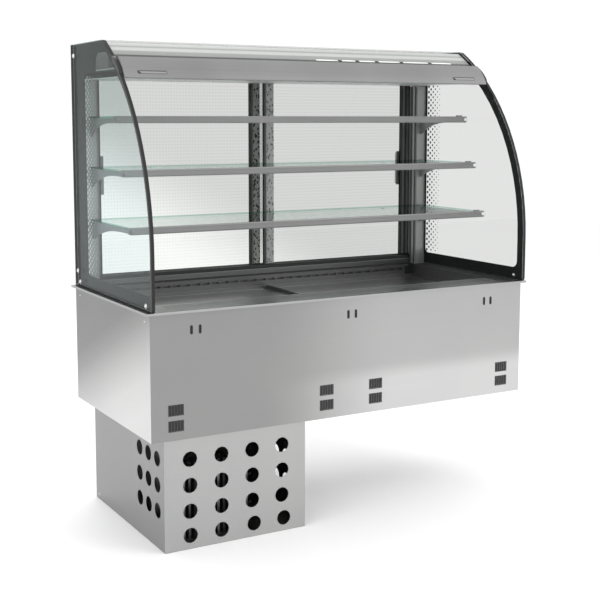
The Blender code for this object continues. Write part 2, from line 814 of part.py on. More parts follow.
def grooved(base, floor, tips, ribs):
    """A comb section: a base with ribs, which leave grooves for the doors between them."""
    outline = [(ribs[0][0], base)]
    for i, (low, high) in enumerate(ribs):
        if i:
            outline.append((low, floor))
        outline += [(low, tips), (high, tips)]
        if i < len(ribs) - 1:
            outline.append((high, floor))
    return outline + [(ribs[-1][1], base)]


def make_rear_frame():
    jamb = PANE_INSIDE - GAP - JAMB_WIDTH - GAP
    ribs = (
        (TRACK_FRONT, INNER_DOOR_Y - GROOVE / 2),
        (INNER_DOOR_Y + GROOVE / 2, OUTER_DOOR_Y - GROOVE / 2),
        (OUTER_DOOR_Y + GROOVE / 2, TRACK_BACK),
    )
    track = grooved(DECK + GAP, DECK + TRACK_FLOOR, TRACK_HEIGHT, ribs)
    flat_piece("door_track", [track], 2 * jamb, "side", 0, DARK)
    ceiling = HEADER_BOTTOM + HEADER_GROOVE
    section = grooved(HEADER_TOP, ceiling, HEADER_BOTTOM, ribs)
    wall = 0.003
    chamber = rectangle(TRACK_FRONT + wall, ceiling + wall, TRACK_BACK - wall, HEADER_TOP - wall)
    flat_piece("header", [section, chamber], 2 * (PANE_INSIDE - GAP), "side", 0, GREY)


def make_doors():
    """Two panes of glass that slide past each other in the rear frame, each with a slim grip."""
    for word, y, side in (("left", INNER_DOOR_Y, -1), ("right", OUTER_DOOR_Y, 1)):
        outer = side * DOOR_OUTER_X
        inner = -side * DOOR_OVERLAP
        x0 = min(outer, inner)
        x1 = max(outer, inner)
        low = (x0, y - DOOR_THICK / 2, DOOR_BOTTOM)
        block(f"door_{word}", low, (x1, y + DOOR_THICK / 2, DOOR_TOP), GLASS)
        grip_x = side * (DOOR_OUTER_X - 0.052)
        back = y + DOOR_THICK / 2 + GAP
        outline = [
            (back, 0.327), (back, 0.466), (back + 0.010, 0.458), (back + 0.010, 0.335),
        ]
        flat_piece(f"door_grip_{word}", [outline], 0.014, "side", grip_x, GREY)


def make_shelf(number, middle, front):
    """A glass shelf with its front rail, on two tapered brackets."""
    top = middle + RAIL_HEIGHT / 2
    bottom = middle - RAIL_HEIGHT / 2
    glass_low = top - SHELF_GLASS - 0.001
    back = UPRIGHT_FRONT - 0.003
    rail_back = front + RAIL_DEPTH
    block(
        f"shelf_glass_{number}",
        (-SHELF_HALF, rail_back + GAP, glass_low),
        (SHELF_HALF, back, top - 0.001),
        GLASS,
    )
    block(
        f"shelf_rail_{number}",
        (-RAIL_HALF, front, bottom),
        (RAIL_HALF, rail_back, top),
        GREY,
        bevel=0.003,
    )
    seat = glass_low - GAP
    root = UPRIGHT_FRONT - GAP
    tip = rail_back + GAP
    curve_start = front + 0.090
    heel = top - BRACKET_ROOT
    under = []
    for i in range(9):
        t = i / 8
        under.append(
            (curve_start + (root - curve_start) * t, bottom + (heel - bottom) * t ** 2.6)
        )
    outline = [(tip, seat), (tip, bottom)] + under + [(root, seat)]
    for word, side in (("left", -1), ("right", 1)):
        middle_x = side * (BRACKET_X + BRACKET_THICK / 2)
        flat_piece(
            f"shelf_bracket_{number}_{word}", [outline], BRACKET_THICK, "side", middle_x, GREY
        )


def make_canopy():
    half = PANE_INSIDE - GAP
    front = FLAP_BOTTOM[0] + FLAP_THICK + 0.012
    box = [
        (front, CEILING_BOTTOM), (TRACK_FRONT - GAP, CEILING_BOTTOM),
        (TRACK_FRONT - GAP, CEILING_TOP), (front + 0.016, CEILING_TOP),
    ]
    wall = 0.0015
    chamber = [
        (front + 2 * wall, CEILING_BOTTOM + wall), (TRACK_FRONT - GAP - wall, CEILING_BOTTOM + wall),
        (TRACK_FRONT - GAP - wall, CEILING_TOP - wall), (front + 0.016 + wall, CEILING_TOP - wall),
    ]
    flat_piece("ceiling_panel", [box, chamber], 2 * half, "side", 0, ENAMEL)

    outer_inset = SEAL + 0.002
    roof_top = PANE_TOP - 0.003
    outer = arc_run(ROOF_START, roof_top, outer_inset, 6)
    inner = arc_run(ROOF_START, roof_top - ROOF_THICK, outer_inset + ROOF_THICK, 6)
    sheet = (
        outer
        + [(TRACK_BACK, roof_top), (TRACK_BACK, roof_top - ROOF_THICK)]
        + list(reversed(inner))
    )
    flat_piece("roof_glass", [sheet], 2 * half, "side", 0, GLASS)
    make_flap()


def make_flap():
    """The lamp cover at the canopy's front: hinged at its top, with two finger grips."""
    half = PANE_INSIDE - 0.002
    y0, z0 = FLAP_BOTTOM
    y1, z1 = FLAP_TOP
    bulge = 0.010
    run = []
    for i in range(7):
        t = i / 6
        out = bulge * 4 * t * (1 - t) * 0.5
        run.append((y0 + (y1 - y0) * t - out * 0.77, z0 + (z1 - z0) * t + out * 0.64))
    inner = [(y + FLAP_THICK * 0.77, z - FLAP_THICK * 0.40) for y, z in run]
    inner[0] = (y0 + FLAP_THICK, z0)
    inner[-1] = (y1 + FLAP_THICK, z1 - 0.002)
    flap = as_mesh(
        flat_piece("canopy_flap", [run + list(reversed(inner))], 2 * half, "side", 0, GREY)
    )
    smooth(flap)
    hinge_y, hinge_z = FLAP_HINGE
    for word, side in (("left", -1), ("right", 1)):
        x = side * GRIP_X
        pocket = block(
            f"finger_grip_{word}",
            (x - GRIP_WIDTH / 2, -0.006, -0.007),
            (x + GRIP_WIDTH / 2, 0.006, 0.007),
            cutter=True,
        )
        pocket.rotation_euler = (-math.atan2(y1 - y0, z1 - z0), 0, 0)
        t = 0.24
        pocket.location.y = y0 + (y1 - y0) * t - 0.003
        pocket.location.z = z0 + (z1 - z0) * t + 0.002
        combine(flap, pocket)
    flap.data.transform(
        Matrix.Translation((0, -hinge_y, -hinge_z)) @ flap.matrix_world
    )
    flap.matrix_world = Matrix.Translation((0, hinge_y, hinge_z))


def main():
    make_casing()
    make_flange()
    make_tub()
    make_insulation()
    make_return_grille()
    make_trays()
    make_air_panel()
    make_evaporator()
    for word, centre in zip(("left", "right"), EVAPORATOR_FANS):
        make_fan(f"evaporator_fan_{word}", centre, EVAPORATOR_FAN_RADIUS)
    make_baffle()
    make_drain()
    make_machine_box()
    make_condensing_unit()
    make_controls()
    make_side(-1, "left")
    make_side(1, "right")
    make_rear_frame()
    make_doors()
    for number, (middle, front) in enumerate(SHELVES, 1):
        make_shelf(number, middle, front)
    make_canopy()


main()
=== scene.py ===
"""Looks for the drop-in refrigerated deli case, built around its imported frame."""

import math

import bmesh
import bpy
from mathutils import Matrix, Vector


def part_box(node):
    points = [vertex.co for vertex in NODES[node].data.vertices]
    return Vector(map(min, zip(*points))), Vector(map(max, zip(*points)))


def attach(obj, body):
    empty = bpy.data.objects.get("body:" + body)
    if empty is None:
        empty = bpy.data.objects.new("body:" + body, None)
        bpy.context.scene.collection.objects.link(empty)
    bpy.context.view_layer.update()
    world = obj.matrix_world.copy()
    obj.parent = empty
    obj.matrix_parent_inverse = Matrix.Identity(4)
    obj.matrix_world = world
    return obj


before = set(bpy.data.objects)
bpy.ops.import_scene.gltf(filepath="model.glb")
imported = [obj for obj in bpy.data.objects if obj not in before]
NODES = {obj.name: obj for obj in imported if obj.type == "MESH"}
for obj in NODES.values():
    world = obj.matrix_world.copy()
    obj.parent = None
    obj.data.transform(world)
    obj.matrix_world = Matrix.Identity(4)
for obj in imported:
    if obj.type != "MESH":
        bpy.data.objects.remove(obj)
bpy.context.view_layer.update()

SKIN = 0.0001                   # thickness of print on glass

# camera: where the viewer stands, in metres and degrees
EYE = (-2.053, -3.224, 0.599)
HEADING = 29.22
TILT = 6.69
LENS = 68.17
SHIFT = (0.0179, -0.08)

# the panes' faces, and the arc of their front edge, which starts above a straight run
PANE_LOW, PANE_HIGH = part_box("side_pane_right")
PANE_INNER = PANE_LOW.x
PANE_OUTER = PANE_HIGH.x
ARC_RADIUS = 0.800
ARC_START = 0.168
ARC_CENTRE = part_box("pane_seal_right")[0].y + ARC_RADIUS
BODY_LOW, BODY_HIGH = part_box("casing_front")
BOX_LOW, BOX_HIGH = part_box("machine_front")
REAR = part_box("casing_back")[1].y

SIDES = (("left", -1), ("right", 1))

# places along the casing's front, from its left end, and the heights of the vent rows
SLOT_PAIRS = (0.156, 0.740, 1.324)
SLOT_APART = 0.030
VENTS = (0.085, 0.640, 0.838, 1.394)
VENT_ROWS = (-0.315, -0.3665)
GRILLE_PITCH = 0.012
GUARD_PLANE = 0.1645            # y of the condenser fan's guard
BAND_TOP = 0.7415               # top of the black band down each pane's front edge

# (radius, height) profiles of small turned fittings, from the crown to the foot
RIVET = ((0, 0.0016), (0.0020, 0.0014), (0.0032, 0.0006), (0.0034, 0.0001), (0, 0.0001))
PANEL_SCREW = ((0, 0.0014), (0.0018, 0.0014), (0.0030, 0.0006), (0.0032, 0.0001), (0, 0.0001))
BRACKET_SCREW = ((0, 0.0030), (0.0050, 0.0030), (0.0068, 0.0018), (0.0072, 0), (0, 0))
RAIL_DISC = ((0, 0.0026), (0.0037, 0.0025), (0.0053, 0.0020), (0.0061, 0.0011), (0.0062, 0), (0, 0))
RAIL_BUTTON = ((0, 0.0030), (0.0045, 0.0028), (0.0062, 0.0018), (0.0066, 0), (0, 0))
BUFFER = ((0, 0), (0.006, 0), (0.006, 0.0016), (0.005, 0.0024), (0, 0.0024))
RUBBER_FOOT = ((0, 0.016), (0.008, 0.016), (0.014, 0.010), (0.014, 0), (0, 0))
WASHER = ((0, 0.004), (0.016, 0.004), (0.018, 0.002), (0.018, 0), (0, 0))
DIAL_DOT = ((0, 0.0004), (0.0012, 0.0004), (0.0012, 0.0001), (0, 0.0001))
LAMP_LENS = ((0, 0.0034), (0.0024, 0.0028), (0.0038, 0.0012), (0.0040, 0.0001), (0, 0.0001))


# -------- shapes

def add_object(name, data):
    """A new object in the scene."""
    thing = bpy.data.objects.new(name, data)
    bpy.context.scene.collection.objects.link(thing)
    return thing


def bm_piece(name, shape, material, body="cabinet", smooth=None):
    """A piece from a bmesh, which rides a body. It is shaded smooth below an angle in degrees."""
    bmesh.ops.recalc_face_normals(shape, faces=shape.faces)
    mesh = bpy.data.meshes.new(name)
    shape.to_mesh(mesh)
    shape.free()
    if smooth:
        mesh.shade_smooth()
        mesh.set_sharp_from_angle(angle=math.radians(smooth))
    piece = add_object(name, mesh)
    piece.data.materials.append(material)
    if body:
        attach(piece, body)
    return piece


def circle(radius, count):
    """Points (u, v) evenly spaced round a circle."""
    angles = [math.tau * i / count for i in range(count)]
    return [(radius * math.cos(a), radius * math.sin(a)) for a in angles]


def spread(low, high, steps):
    """Evenly spaced values between two others, both included."""
    return [low + (high - low) * i / steps for i in range(steps + 1)]


def add_box(shape, corner, opposite, bevel=0.0):
    """A box between two opposite corners, with rounded edges where asked."""
    low = Vector([*map(min, corner, opposite)])
    high = Vector([*map(max, corner, opposite)])
    matrix = Matrix.Translation((low + high) / 2) @ Matrix.Diagonal((*(high - low), 1))
    made = bmesh.ops.create_cube(shape, size=1, matrix=matrix)
    if bevel:
        edges = list({edge for vert in made["verts"] for edge in vert.link_edges})
        bmesh.ops.bevel(shape, geom=edges, offset=bevel, segments=2, profile=0.5, affect="EDGES")


AXES = {
    "X": Matrix(((0, 0, 1, 0), (1, 0, 0, 0), (0, 1, 0, 0), (0, 0, 0, 1))),
    "Y": Matrix(((0, 1, 0, 0), (0, 0, 1, 0), (1, 0, 0, 0), (0, 0, 0, 1))),
    "Z": Matrix.Identity(4),
}


def add_turned(shape, profile, place, axis="Z", flip=False, steps=24):
    """Spins (radius, height) points about an axis; the profile starts and ends on the axis."""
    turn = Matrix.Translation(place) @ AXES[axis]
    if flip:
        turn = turn @ Matrix.Rotation(math.pi, 4, "X")
    rings = []
    for radius, height in profile:
        spots = circle(radius, steps) if radius else [(0, 0)]
        rings.append([shape.verts.new(turn @ Vector((u, v, height))) for u, v in spots])
    for first, second in zip(rings, rings[1:]):
        for i in range(steps):
            j = (i + 1) % steps
            quad = [first[i % len(first)], first[j % len(first)]]
            quad += [second[j % len(second)], second[i % len(second)]]
            corners = list(dict.fromkeys(quad))
            if len(corners) > 2:
                shape.faces.new(corners)


FACING = {
    "front": Matrix(((1, 0, 0, 0), (0, 0, -1, 0), (0, 1, 0, 0), (0, 0, 0, 1))),
    "side": Matrix(((0, 0, 1, 0), (1, 0, 0, 0), (0, 1, 0, 0), (0, 0, 0, 1))),
    "level": Matrix.Identity(4),
}


def outline_mesh(name, loops, thickness, facing, middle):
    """A flat mesh with holes: outlines in the plane that faces front, side or up."""
    curve = bpy.data.curves.new(name, "CURVE")
    curve.dimensions = "2D"
    curve.fill_mode = "BOTH"
    curve.extrude = thickness / 2
    for points in loops:
        spline = curve.splines.new("POLY")
        spline.points.add(len(points) - 1)
        for point, (u, v) in zip(spline.points, points):
            point.co = (u, v, 0, 1)
        spline.use_cyclic_u = True
    flat = add_object(name, curve)
    graph = bpy.context.evaluated_depsgraph_get()
    graph.update()
    mesh = bpy.data.meshes.new_from_object(flat.evaluated_get(graph))
    bpy.data.objects.remove(flat)
    bpy.data.curves.remove(curve)
    shape = bmesh.new()
    shape.from_mesh(mesh)
    bpy.data.meshes.remove(mesh)
    bmesh.ops.remove_doubles(shape, verts=shape.verts, dist=1e-6)
    offset = {"front": (0, middle, 0), "side": (middle, 0, 0), "level": (0, 0, middle)}[facing]
    bmesh.ops.transform(
        shape, matrix=Matrix.Translation(offset) @ FACING[facing], verts=shape.verts
    )
    return shape


def join(shape, other):
    """Adds another bmesh's faces to this one."""
    mesh = bpy.data.meshes.new("joined")
    other.to_mesh(mesh)
    other.free()
    shape.from_mesh(mesh)
    bpy.data.meshes.remove(mesh)


def add_pipe(shape, points, radius, sides=10):
    """A round bar along a run of points, with closed ends."""
    points = [Vector(p) for p in points]
    rings = []
    side = None
    for i, point in enumerate(points):
        ahead = points[min(i + 1, len(points) - 1)] - points[max(i - 1, 0)]
        ahead.normalize()
        if side is None:
            side = ahead.orthogonal().normalized()
        side = (side - ahead * side.dot(ahead)).normalized()
        up = ahead.cross(side)
        rings.append([
            shape.verts.new(point + side * u + up * v) for u, v in circle(radius, sides)
        ])
    for first, second in zip(rings, rings[1:]):
        for k in range(sides):
            j = (k + 1) % sides
            shape.faces.new((first[k], first[j], second[j], second[k]))
    shape.faces.new(rings[0][::-1])
    shape.faces.new(rings[-1])


def arc_yz(height, inset=0.0):
    """(y, z) on the panes' curved front edge, or inset from it."""
    if height <= ARC_START:
        return ARC_CENTRE - ARC_RADIUS + inset, height
    radius = ARC_RADIUS - inset
    rise = min(height - ARC_START, radius * 0.999)
    return ARC_CENTRE - math.sqrt(radius * radius - rise * rise), height


def rounded(points, radii, steps=5):
    """Rounds the corners of a closed outline, each by its own radius."""
    out = []
    count = len(points)
    for i, (point, radius) in enumerate(zip(points, radii)):
        here = Vector(point)
        if not radius:
            out.append(tuple(here))
            continue
        before = (Vector(points[i - 1]) - here).normalized()
        after = (Vector(points[(i + 1) % count]) - here).normalized()
        half = before.angle(after) / 2
        reach = radius / math.tan(half)
        centre = here + (before + after).normalized() * (radius / math.sin(half))
        start = here + before * reach - centre
        turn = (here + after * reach - centre).angle_signed(start)
        for k in range(steps + 1):
            a = turn * k / steps
            spot = Vector((
                start.x * math.cos(a) - start.y * math.sin(a),
                start.x * math.sin(a) + start.y * math.cos(a),
            ))
            out.append(tuple(centre + spot))
    return out


def curved_strip(low, high, near, far, width, middle, steps=8):
    """A strip that follows the panes' curve between two heights and two insets."""
    heights = spread(low, high, steps)
    outer = [arc_yz(z, near) for z in heights]
    inner = [arc_yz(z, far) for z in heights[::-1]]
    return outline_mesh("strip", [outer + inner], width, "side", middle)


# -------- materials

def linear(value):
    """Display brightness to the shader's linear value."""
    return value / 12.92 if value <= 0.04045 else ((value + 0.055) / 1.055) ** 2.4


def shade(*values):
    """An RGBA colour from display values; one value is a grey."""
    values = values * 3 if len(values) == 1 else values
    return (*[linear(v) for v in values], 1.0)


def new_material(name):
    material = bpy.data.materials.new(name)
    material.use_nodes = True
    tree = material.node_tree
    return material, tree, tree.nodes["Principled BSDF"]


def place_texture(tree, scale, stretch=(1, 1, 1), kind="ShaderNodeTexNoise", **settings):
    """The value of a texture, noise by default, laid out in the object's own coordinates."""
    coords = tree.nodes.new("ShaderNodeTexCoord")
    mapping = tree.nodes.new("ShaderNodeMapping")
    mapping.inputs["Scale"].default_value = stretch
    texture = tree.nodes.new(kind)
    texture.inputs["Scale"].default_value = scale
    for key, value in settings.items():
        texture.inputs[key].default_value = value
    tree.links.new(coords.outputs["Object"], mapping.inputs["Vector"])
    tree.links.new(mapping.outputs["Vector"], texture.inputs["Vector"])
    return texture.outputs[0]


def ramp(tree, source, stops):
    """A colour ramp fed by a factor; stops are (place, colour)."""
    node = tree.nodes.new("ShaderNodeValToRGB")
    elements = node.color_ramp.elements
    while len(elements) < len(stops):
        elements.new(1.0)
    for element, (spot, colour) in zip(elements, stops):
        element.position = spot
        element.color = colour
    tree.links.new(source, node.inputs["Fac"])
    return node.outputs["Color"]


def ranged(tree, source, low, high):
    """Maps a 0 to 1 factor to a range."""
    node = tree.nodes.new("ShaderNodeMapRange")
    node.inputs["To Min"].default_value = low
    node.inputs["To Max"].default_value = high
    tree.links.new(source, node.inputs["Value"])
    return node.outputs["Result"]


def coat(tree, shader, colour, grain, low, high):
    """Gives a shader its colour, and a roughness that varies with the grain."""
    tree.links.new(colour, shader.inputs["Base Color"])
    tree.links.new(ranged(tree, grain, low, high), shader.inputs["Roughness"])


def bump(tree, shader, height, strength, distance=0.001):
    node = tree.nodes.new("ShaderNodeBump")
    node.inputs["Strength"].default_value = strength
    node.inputs["Distance"].default_value = distance
    tree.links.new(height, node.inputs["Height"])
    tree.links.new(node.outputs["Normal"], shader.inputs["Normal"])


def math_node(tree, operation, *values):
    node = tree.nodes.new("ShaderNodeMath")
    node.operation = operation
    for socket, value in zip(node.inputs, values):
        if isinstance(value, (int, float)):
            socket.default_value = value
        else:
            tree.links.new(value, socket)
    return node.outputs[0]


def object_axes(tree):
    """The object's x, y and z as sockets."""
    coords = tree.nodes.new("ShaderNodeTexCoord")
    split = tree.nodes.new("ShaderNodeSeparateXYZ")
    tree.links.new(coords.outputs["Object"], split.inputs["Vector"])
    return split.outputs


def mix_colour(tree, blend, factor, first, second):
    node = tree.nodes.new("ShaderNodeMix")
    node.data_type = "RGBA"
    node.blend_type = blend
    sockets = [node.inputs["Factor"], node.inputs[6], node.inputs[7]]
    for socket, value in zip(sockets, (factor, first, second)):
        if isinstance(value, (int, float, tuple)):
            socket.default_value = value
        else:
            tree.links.new(value, socket)
    return node.outputs[2]


def brushed(name, tone, grain="X", rough=0.32, sweep=None):
    """Brushed stainless steel. The sweep, where given, is a painted reflection that darkens and
    lightens it broadly by place.
    """
    material, tree, shader = new_material(name)
    stretch = {"X": (2, 260, 260), "Z": (260, 260, 2), "Y": (260, 2, 260)}[grain]
    grain_noise = place_texture(tree, 1.0, stretch, Detail=2.0)
    cloud = place_texture(tree, 1.6, Detail=3.0, Roughness=0.6)
    fine = ramp(tree, grain_noise, [(0.3, (0.972, 0.972, 0.972, 1)), (0.7, (1, 1, 1, 1))])
    broad = ramp(tree, cloud, [(0.3, (0.96, 0.96, 0.97, 1)), (0.7, (1.02, 1.02, 1.01, 1))])
    # the sweep paints reflected light and shade into the steel's colour
    colour = sweep(tree) if sweep else shade(tone)
    colour = mix_colour(tree, "MULTIPLY", 1.0, colour, fine)
    colour = mix_colour(tree, "MULTIPLY", 1.0, colour, broad)
    coat(tree, shader, colour, grain_noise, rough - 0.05, rough + 0.07)
    shader.inputs["Metallic"].default_value = 1.0
    bump(tree, shader, grain_noise, 0.015)
    return material


def placed(tree, source, low, high, smooth=False):
    """Where a value lies between two others, from 0 to 1."""
    node = tree.nodes.new("ShaderNodeMapRange")
    if smooth:
        node.interpolation_type = "SMOOTHSTEP"
    node.inputs["From Min"].default_value = low
    node.inputs["From Max"].default_value = high
    tree.links.new(source, node.inputs["Value"])
    return node.outputs["Result"]


def front_painted_reflection(tree):
    """Painted reflection: grey at the left, brighter to the right and brightest low on the right."""
    x, _, z = object_axes(tree)
    across = placed(tree, x, -0.36, 0.20, smooth=True)
    down = placed(tree, z, -0.24, -0.31, smooth=True)
    right_side = mix_colour(tree, "MIX", down, shade(0.69), shade(0.785))
    return mix_colour(tree, "MIX", across, shade(0.58), right_side)


def left_painted_reflection(tree):
    """Painted reflection: a bright lower front corner that fades to grey along a diagonal."""
    _, y, z = object_axes(tree)
    diagonal = math_node(tree, "ADD", math_node(tree, "MULTIPLY", y, -0.45), 0.003)
    diagonal = math_node(tree, "SUBTRACT", diagonal, z)
    return ramp(tree, placed(tree, diagonal, -0.07, 0.30), [
        (0.0, shade(0.53)), (0.20, shade(0.60)), (0.40, shade(0.70)),
        (0.72, shade(0.81)), (1.0, shade(0.84)),
    ])


def flange_sweep(tree):
    """Pale on the turned-down lip and darker on top, where the dark glass edges reflect in it."""
    low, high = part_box("counter_flange")
    x, y, _ = object_axes(tree)
    across = math_node(tree, "SUBTRACT", high.x, math_node(tree, "ABSOLUTE", x))
    front = math_node(tree, "SUBTRACT", y, low.y)
    back = math_node(tree, "SUBTRACT", high.y, y)
    inward = math_node(tree, "MINIMUM", across, math_node(tree, "MINIMUM", front, back))
    return mix_colour(tree, "MIX", placed(tree, inward, 0.0008, 0.0060), shade(0.68), shade(0.36))


def painted(
    name, tone, rough=0.4, metallic=0.0, speckle=0.04, scale=900.0, height=0.05, specular=0.5
):
    """A satin coating with a fine orange-peel grain."""
    material, tree, shader = new_material(name)
    noise = place_texture(tree, scale, Detail=2.0)
    cloud = place_texture(tree, 3.0, Detail=3.0)
    colour = shade(*tone) if isinstance(tone, tuple) else shade(tone)
    dark = tuple(c * (1 - speckle * 2) for c in colour[:3]) + (1,)
    light = tuple(min(c * (1 + speckle * 2), 1) for c in colour[:3]) + (1,)
    tint = ramp(tree, cloud, [(0.3, dark), (0.7, light)])
    coat(tree, shader, tint, noise, rough - 0.06, rough + 0.06)
    shader.inputs["Metallic"].default_value = metallic
    shader.inputs["Specular IOR Level"].default_value = specular
    bump(tree, shader, noise, height, 0.0002)
    return material


def mix_shaders(tree, factor, first, second):
    node = tree.nodes.new("ShaderNodeMixShader")
    tree.links.new(factor, node.inputs["Fac"])
    tree.links.new(first.outputs[0], node.inputs[1])
    tree.links.new(second.outputs[0], node.inputs[2])
    return node


def glass_sheet(name, through, edge, flat_axis, pattern=None, lift=None):
    """Clear sheet whose large faces look along one axis of the object: 0 is X, 1 is Y, 2 is Z.

    The faces tint what is behind them, the edges are greener, and the shine grows at grazing
    angles. It is the same on both sides of each face, so that the far face never turns black.
    """
    material = bpy.data.materials.new(name)
    material.use_nodes = True
    tree = material.node_tree
    tree.nodes.clear()
    out = tree.nodes.new("ShaderNodeOutputMaterial")
    clear = tree.nodes.new("ShaderNodeBsdfTransparent")
    side = tree.nodes.new("ShaderNodeBsdfTransparent")
    gloss = tree.nodes.new("ShaderNodeBsdfGlossy")
    side.inputs["Color"].default_value = edge
    # the lift paints light into the tint, clearing it where the glass looks brighter
    colour = lift(tree, through) if lift else through
    if pattern:
        colour = mix_colour(tree, "MULTIPLY", 1.0, colour, pattern(tree))
    if isinstance(colour, tuple):
        clear.inputs["Color"].default_value = colour
    else:
        tree.links.new(colour, clear.inputs["Color"])
    smear = place_texture(tree, 7.0, Detail=4.0)
    tree.links.new(ranged(tree, smear, 0.01, 0.06), gloss.inputs["Roughness"])

    geometry = tree.nodes.new("ShaderNodeNewGeometry")
    to_object = tree.nodes.new("ShaderNodeVectorTransform")
    to_object.convert_from = "WORLD"
    to_object.convert_to = "OBJECT"
    to_object.vector_type = "NORMAL"
    tree.links.new(geometry.outputs["True Normal"], to_object.inputs["Vector"])
    split = tree.nodes.new("ShaderNodeSeparateXYZ")
    tree.links.new(to_object.outputs["Vector"], split.inputs["Vector"])
    along = math_node(tree, "ABSOLUTE", split.outputs[flat_axis])
    body = mix_shaders(tree, math_node(tree, "LESS_THAN", along, 0.5), clear, side)

    facing = tree.nodes.new("ShaderNodeLayerWeight")
    facing.inputs["Blend"].default_value = 0.5
    grazing = math_node(tree, "POWER", facing.outputs["Facing"], 5.0)
    shine = math_node(tree, "MULTIPLY_ADD", grazing, 0.45, 0.006)
    tree.links.new(mix_shaders(tree, shine, body, gloss).outputs[0], out.inputs["Surface"])
    return material


def hatch(tree):
    """Faint staggered dots, as a fritted pane has."""
    x, _, z = object_axes(tree)
    first = math_node(tree, "ADD", x, z)
    second = math_node(tree, "SUBTRACT", x, z)
    waves = [
        math_node(tree, "SINE", math_node(tree, "MULTIPLY", way, math.tau / 0.024))
        for way in (first, second)
    ]
    product = math_node(tree, "MULTIPLY", *waves)
    return ramp(tree, product, [(0.15, (1, 1, 1, 1)), (0.55, (0.962, 0.966, 0.962, 1))])


def door_painted_brightening(tree, through):
    """Painted light: clearer low down at the left, where daylight comes through."""
    x, _, z = object_axes(tree)
    slope = math_node(tree, "ADD", math_node(tree, "MULTIPLY", x, 0.55), z)
    lifted = placed(tree, slope, 0.28, -0.14, smooth=True)
    return mix_colour(tree, "MIX", lifted, through, (0.975, 0.985, 0.97, 1))


def pane_painted_brightening(tree, through):
    """Painted light: clearer towards the bottom."""
    lifted = placed(tree, object_axes(tree)[2], 0.74, 0.28, smooth=True)
    return mix_colour(tree, "MIX", lifted, through, (0.945, 0.98, 0.985, 1))


def mottled(name, dark, light, size):
    """Print that breaks up into irregular dots."""
    material, tree, shader = new_material(name)
    cells = place_texture(tree, 1.0 / size, (1, 1, 0.62), "ShaderNodeTexVoronoi")
    cloud = place_texture(tree, 14.0, Detail=3.0)
    mixed = math_node(tree, "ADD", cells, math_node(tree, "MULTIPLY", cloud, 0.5))
    colour = ramp(
        tree, mixed, [(0.42, shade(dark)), (0.56, shade(dark + 0.08)), (0.72, shade(light))]
    )
    coat(tree, shader, colour, cloud, 0.35, 0.55)
    bump(tree, shader, mixed, 0.08, 0.0004)
    return material


# the left pane's dots: the same dot print made pale, a painted highlight
DOTS_PAINTED_LIGHT = painted("dot_print_painted_light", 0.80, 0.5, speckle=0.02, specular=0.3)
# the casing's front and left steel carry painted reflections, lighter and darker by place
STEEL_FRONT = brushed("steel_front", 0.7, "X", 0.36, front_painted_reflection)
STEEL_LEFT = brushed("steel_left", 0.7, "Y", 0.36, left_painted_reflection)
STEEL_SHEET = brushed("steel_sheet", 0.69, "X", 0.36)
STEEL_BOX = brushed("steel_box", 0.69, "X", 0.38)
# the machine box's sides are its front's steel made darker, a painted shade
STEEL_BOX_SIDE_PAINTED_SHADE = brushed("steel_box_side_painted_shade", 0.595, "Y", 0.38)
STEEL_FLANGE = brushed("steel_flange", 0.66, "X", 0.42, flange_sweep)
STEEL_GRILLE = brushed("steel_grille", 0.46, "X", 0.50)
STEEL_WELL = brushed("steel_well", 0.50, "X", 0.34)
STEEL_TRAY = brushed("steel_tray", 0.52, "X", 0.30)
STEEL_BOLT = brushed("steel_bolt", 0.85, "Z", 0.20)
GREY = painted("grey_aluminium", 0.60, 0.36, 0.55)
GREY_RAIL = painted("grey_rail", 0.49, 0.38, 0.25)
GREY_FRAME = painted("grey_frame", 0.50, 0.40, 0.5)
DARK_FRAME = painted("dark_frame", 0.27, 0.45, 0.3)
STILE_GREY = painted("stile_grey", 0.50, 0.45, 0.4)
TUBE_DARK = painted("dark_tube", 0.12, 0.5, speckle=0.08)
FLAP_GREY = painted("flap_grey", 0.50, 0.44, 0.20)
CEILING = painted("ceiling_enamel", 0.80, 0.40)
PRINT = painted("print_grey", (0.11, 0.12, 0.115), 0.5, speckle=0.05, specular=0.1)
DOTS = painted("dot_print", (0.34, 0.35, 0.345), 0.5, speckle=0.06, specular=0.1)
BLACK = painted("black_plastic", 0.10, 0.40, speckle=0.08)
RUBBER = painted("black_rubber", 0.07, 0.65, speckle=0.10, height=0.15)
PLASTIC = painted("dark_plastic", 0.16, 0.45, speckle=0.08)
CREAM = painted("pale_enamel", 0.86, 0.30)
FOAM = painted("yellow_foam", (0.86, 0.80, 0.58), 0.85, speckle=0.10, scale=240.0, height=0.5)
COMPRESSOR_BLACK = painted("compressor_black", 0.13, 0.35, speckle=0.10)
FIN = brushed("aluminium_fin", 0.55, "Z", 0.42)
COPPER = painted("copper", (0.80, 0.50, 0.36), 0.28, 1.0, speckle=0.08)
MOTTLED_DARK = mottled("mottled_dark", 0.08, 0.74, 0.0085)
MOTTLED_GREY = mottled("mottled_grey", 0.34, 0.66, 0.0085)
GREEN_EDGE = (0.30, 0.42, 0.38, 1)
# both side panes are the same glass: the left one's darker, greener tint and the right one's lighter
# tint are painted light
PANE_GLASS = glass_sheet("pane_glass", (0.80, 0.845, 0.83, 1), GREEN_EDGE, 0, lift=pane_painted_brightening)
RIGHT_GLASS = glass_sheet("right_pane_glass", (0.86, 0.865, 0.86, 1), GREEN_EDGE, 0)
DOOR_GLASS = glass_sheet(
    "door_glass", (0.803, 0.808, 0.803, 1), GREEN_EDGE, 1, hatch, door_painted_brightening
)
SHELF_GLASS = glass_sheet("shelf_glass", (0.93, 0.965, 0.95, 1), (0.45, 0.66, 0.58, 1), 2)
ROOF_GLASS = glass_sheet("roof_glass", (0.95, 0.955, 0.95, 1), (0.50, 0.62, 0.58, 1), 2)


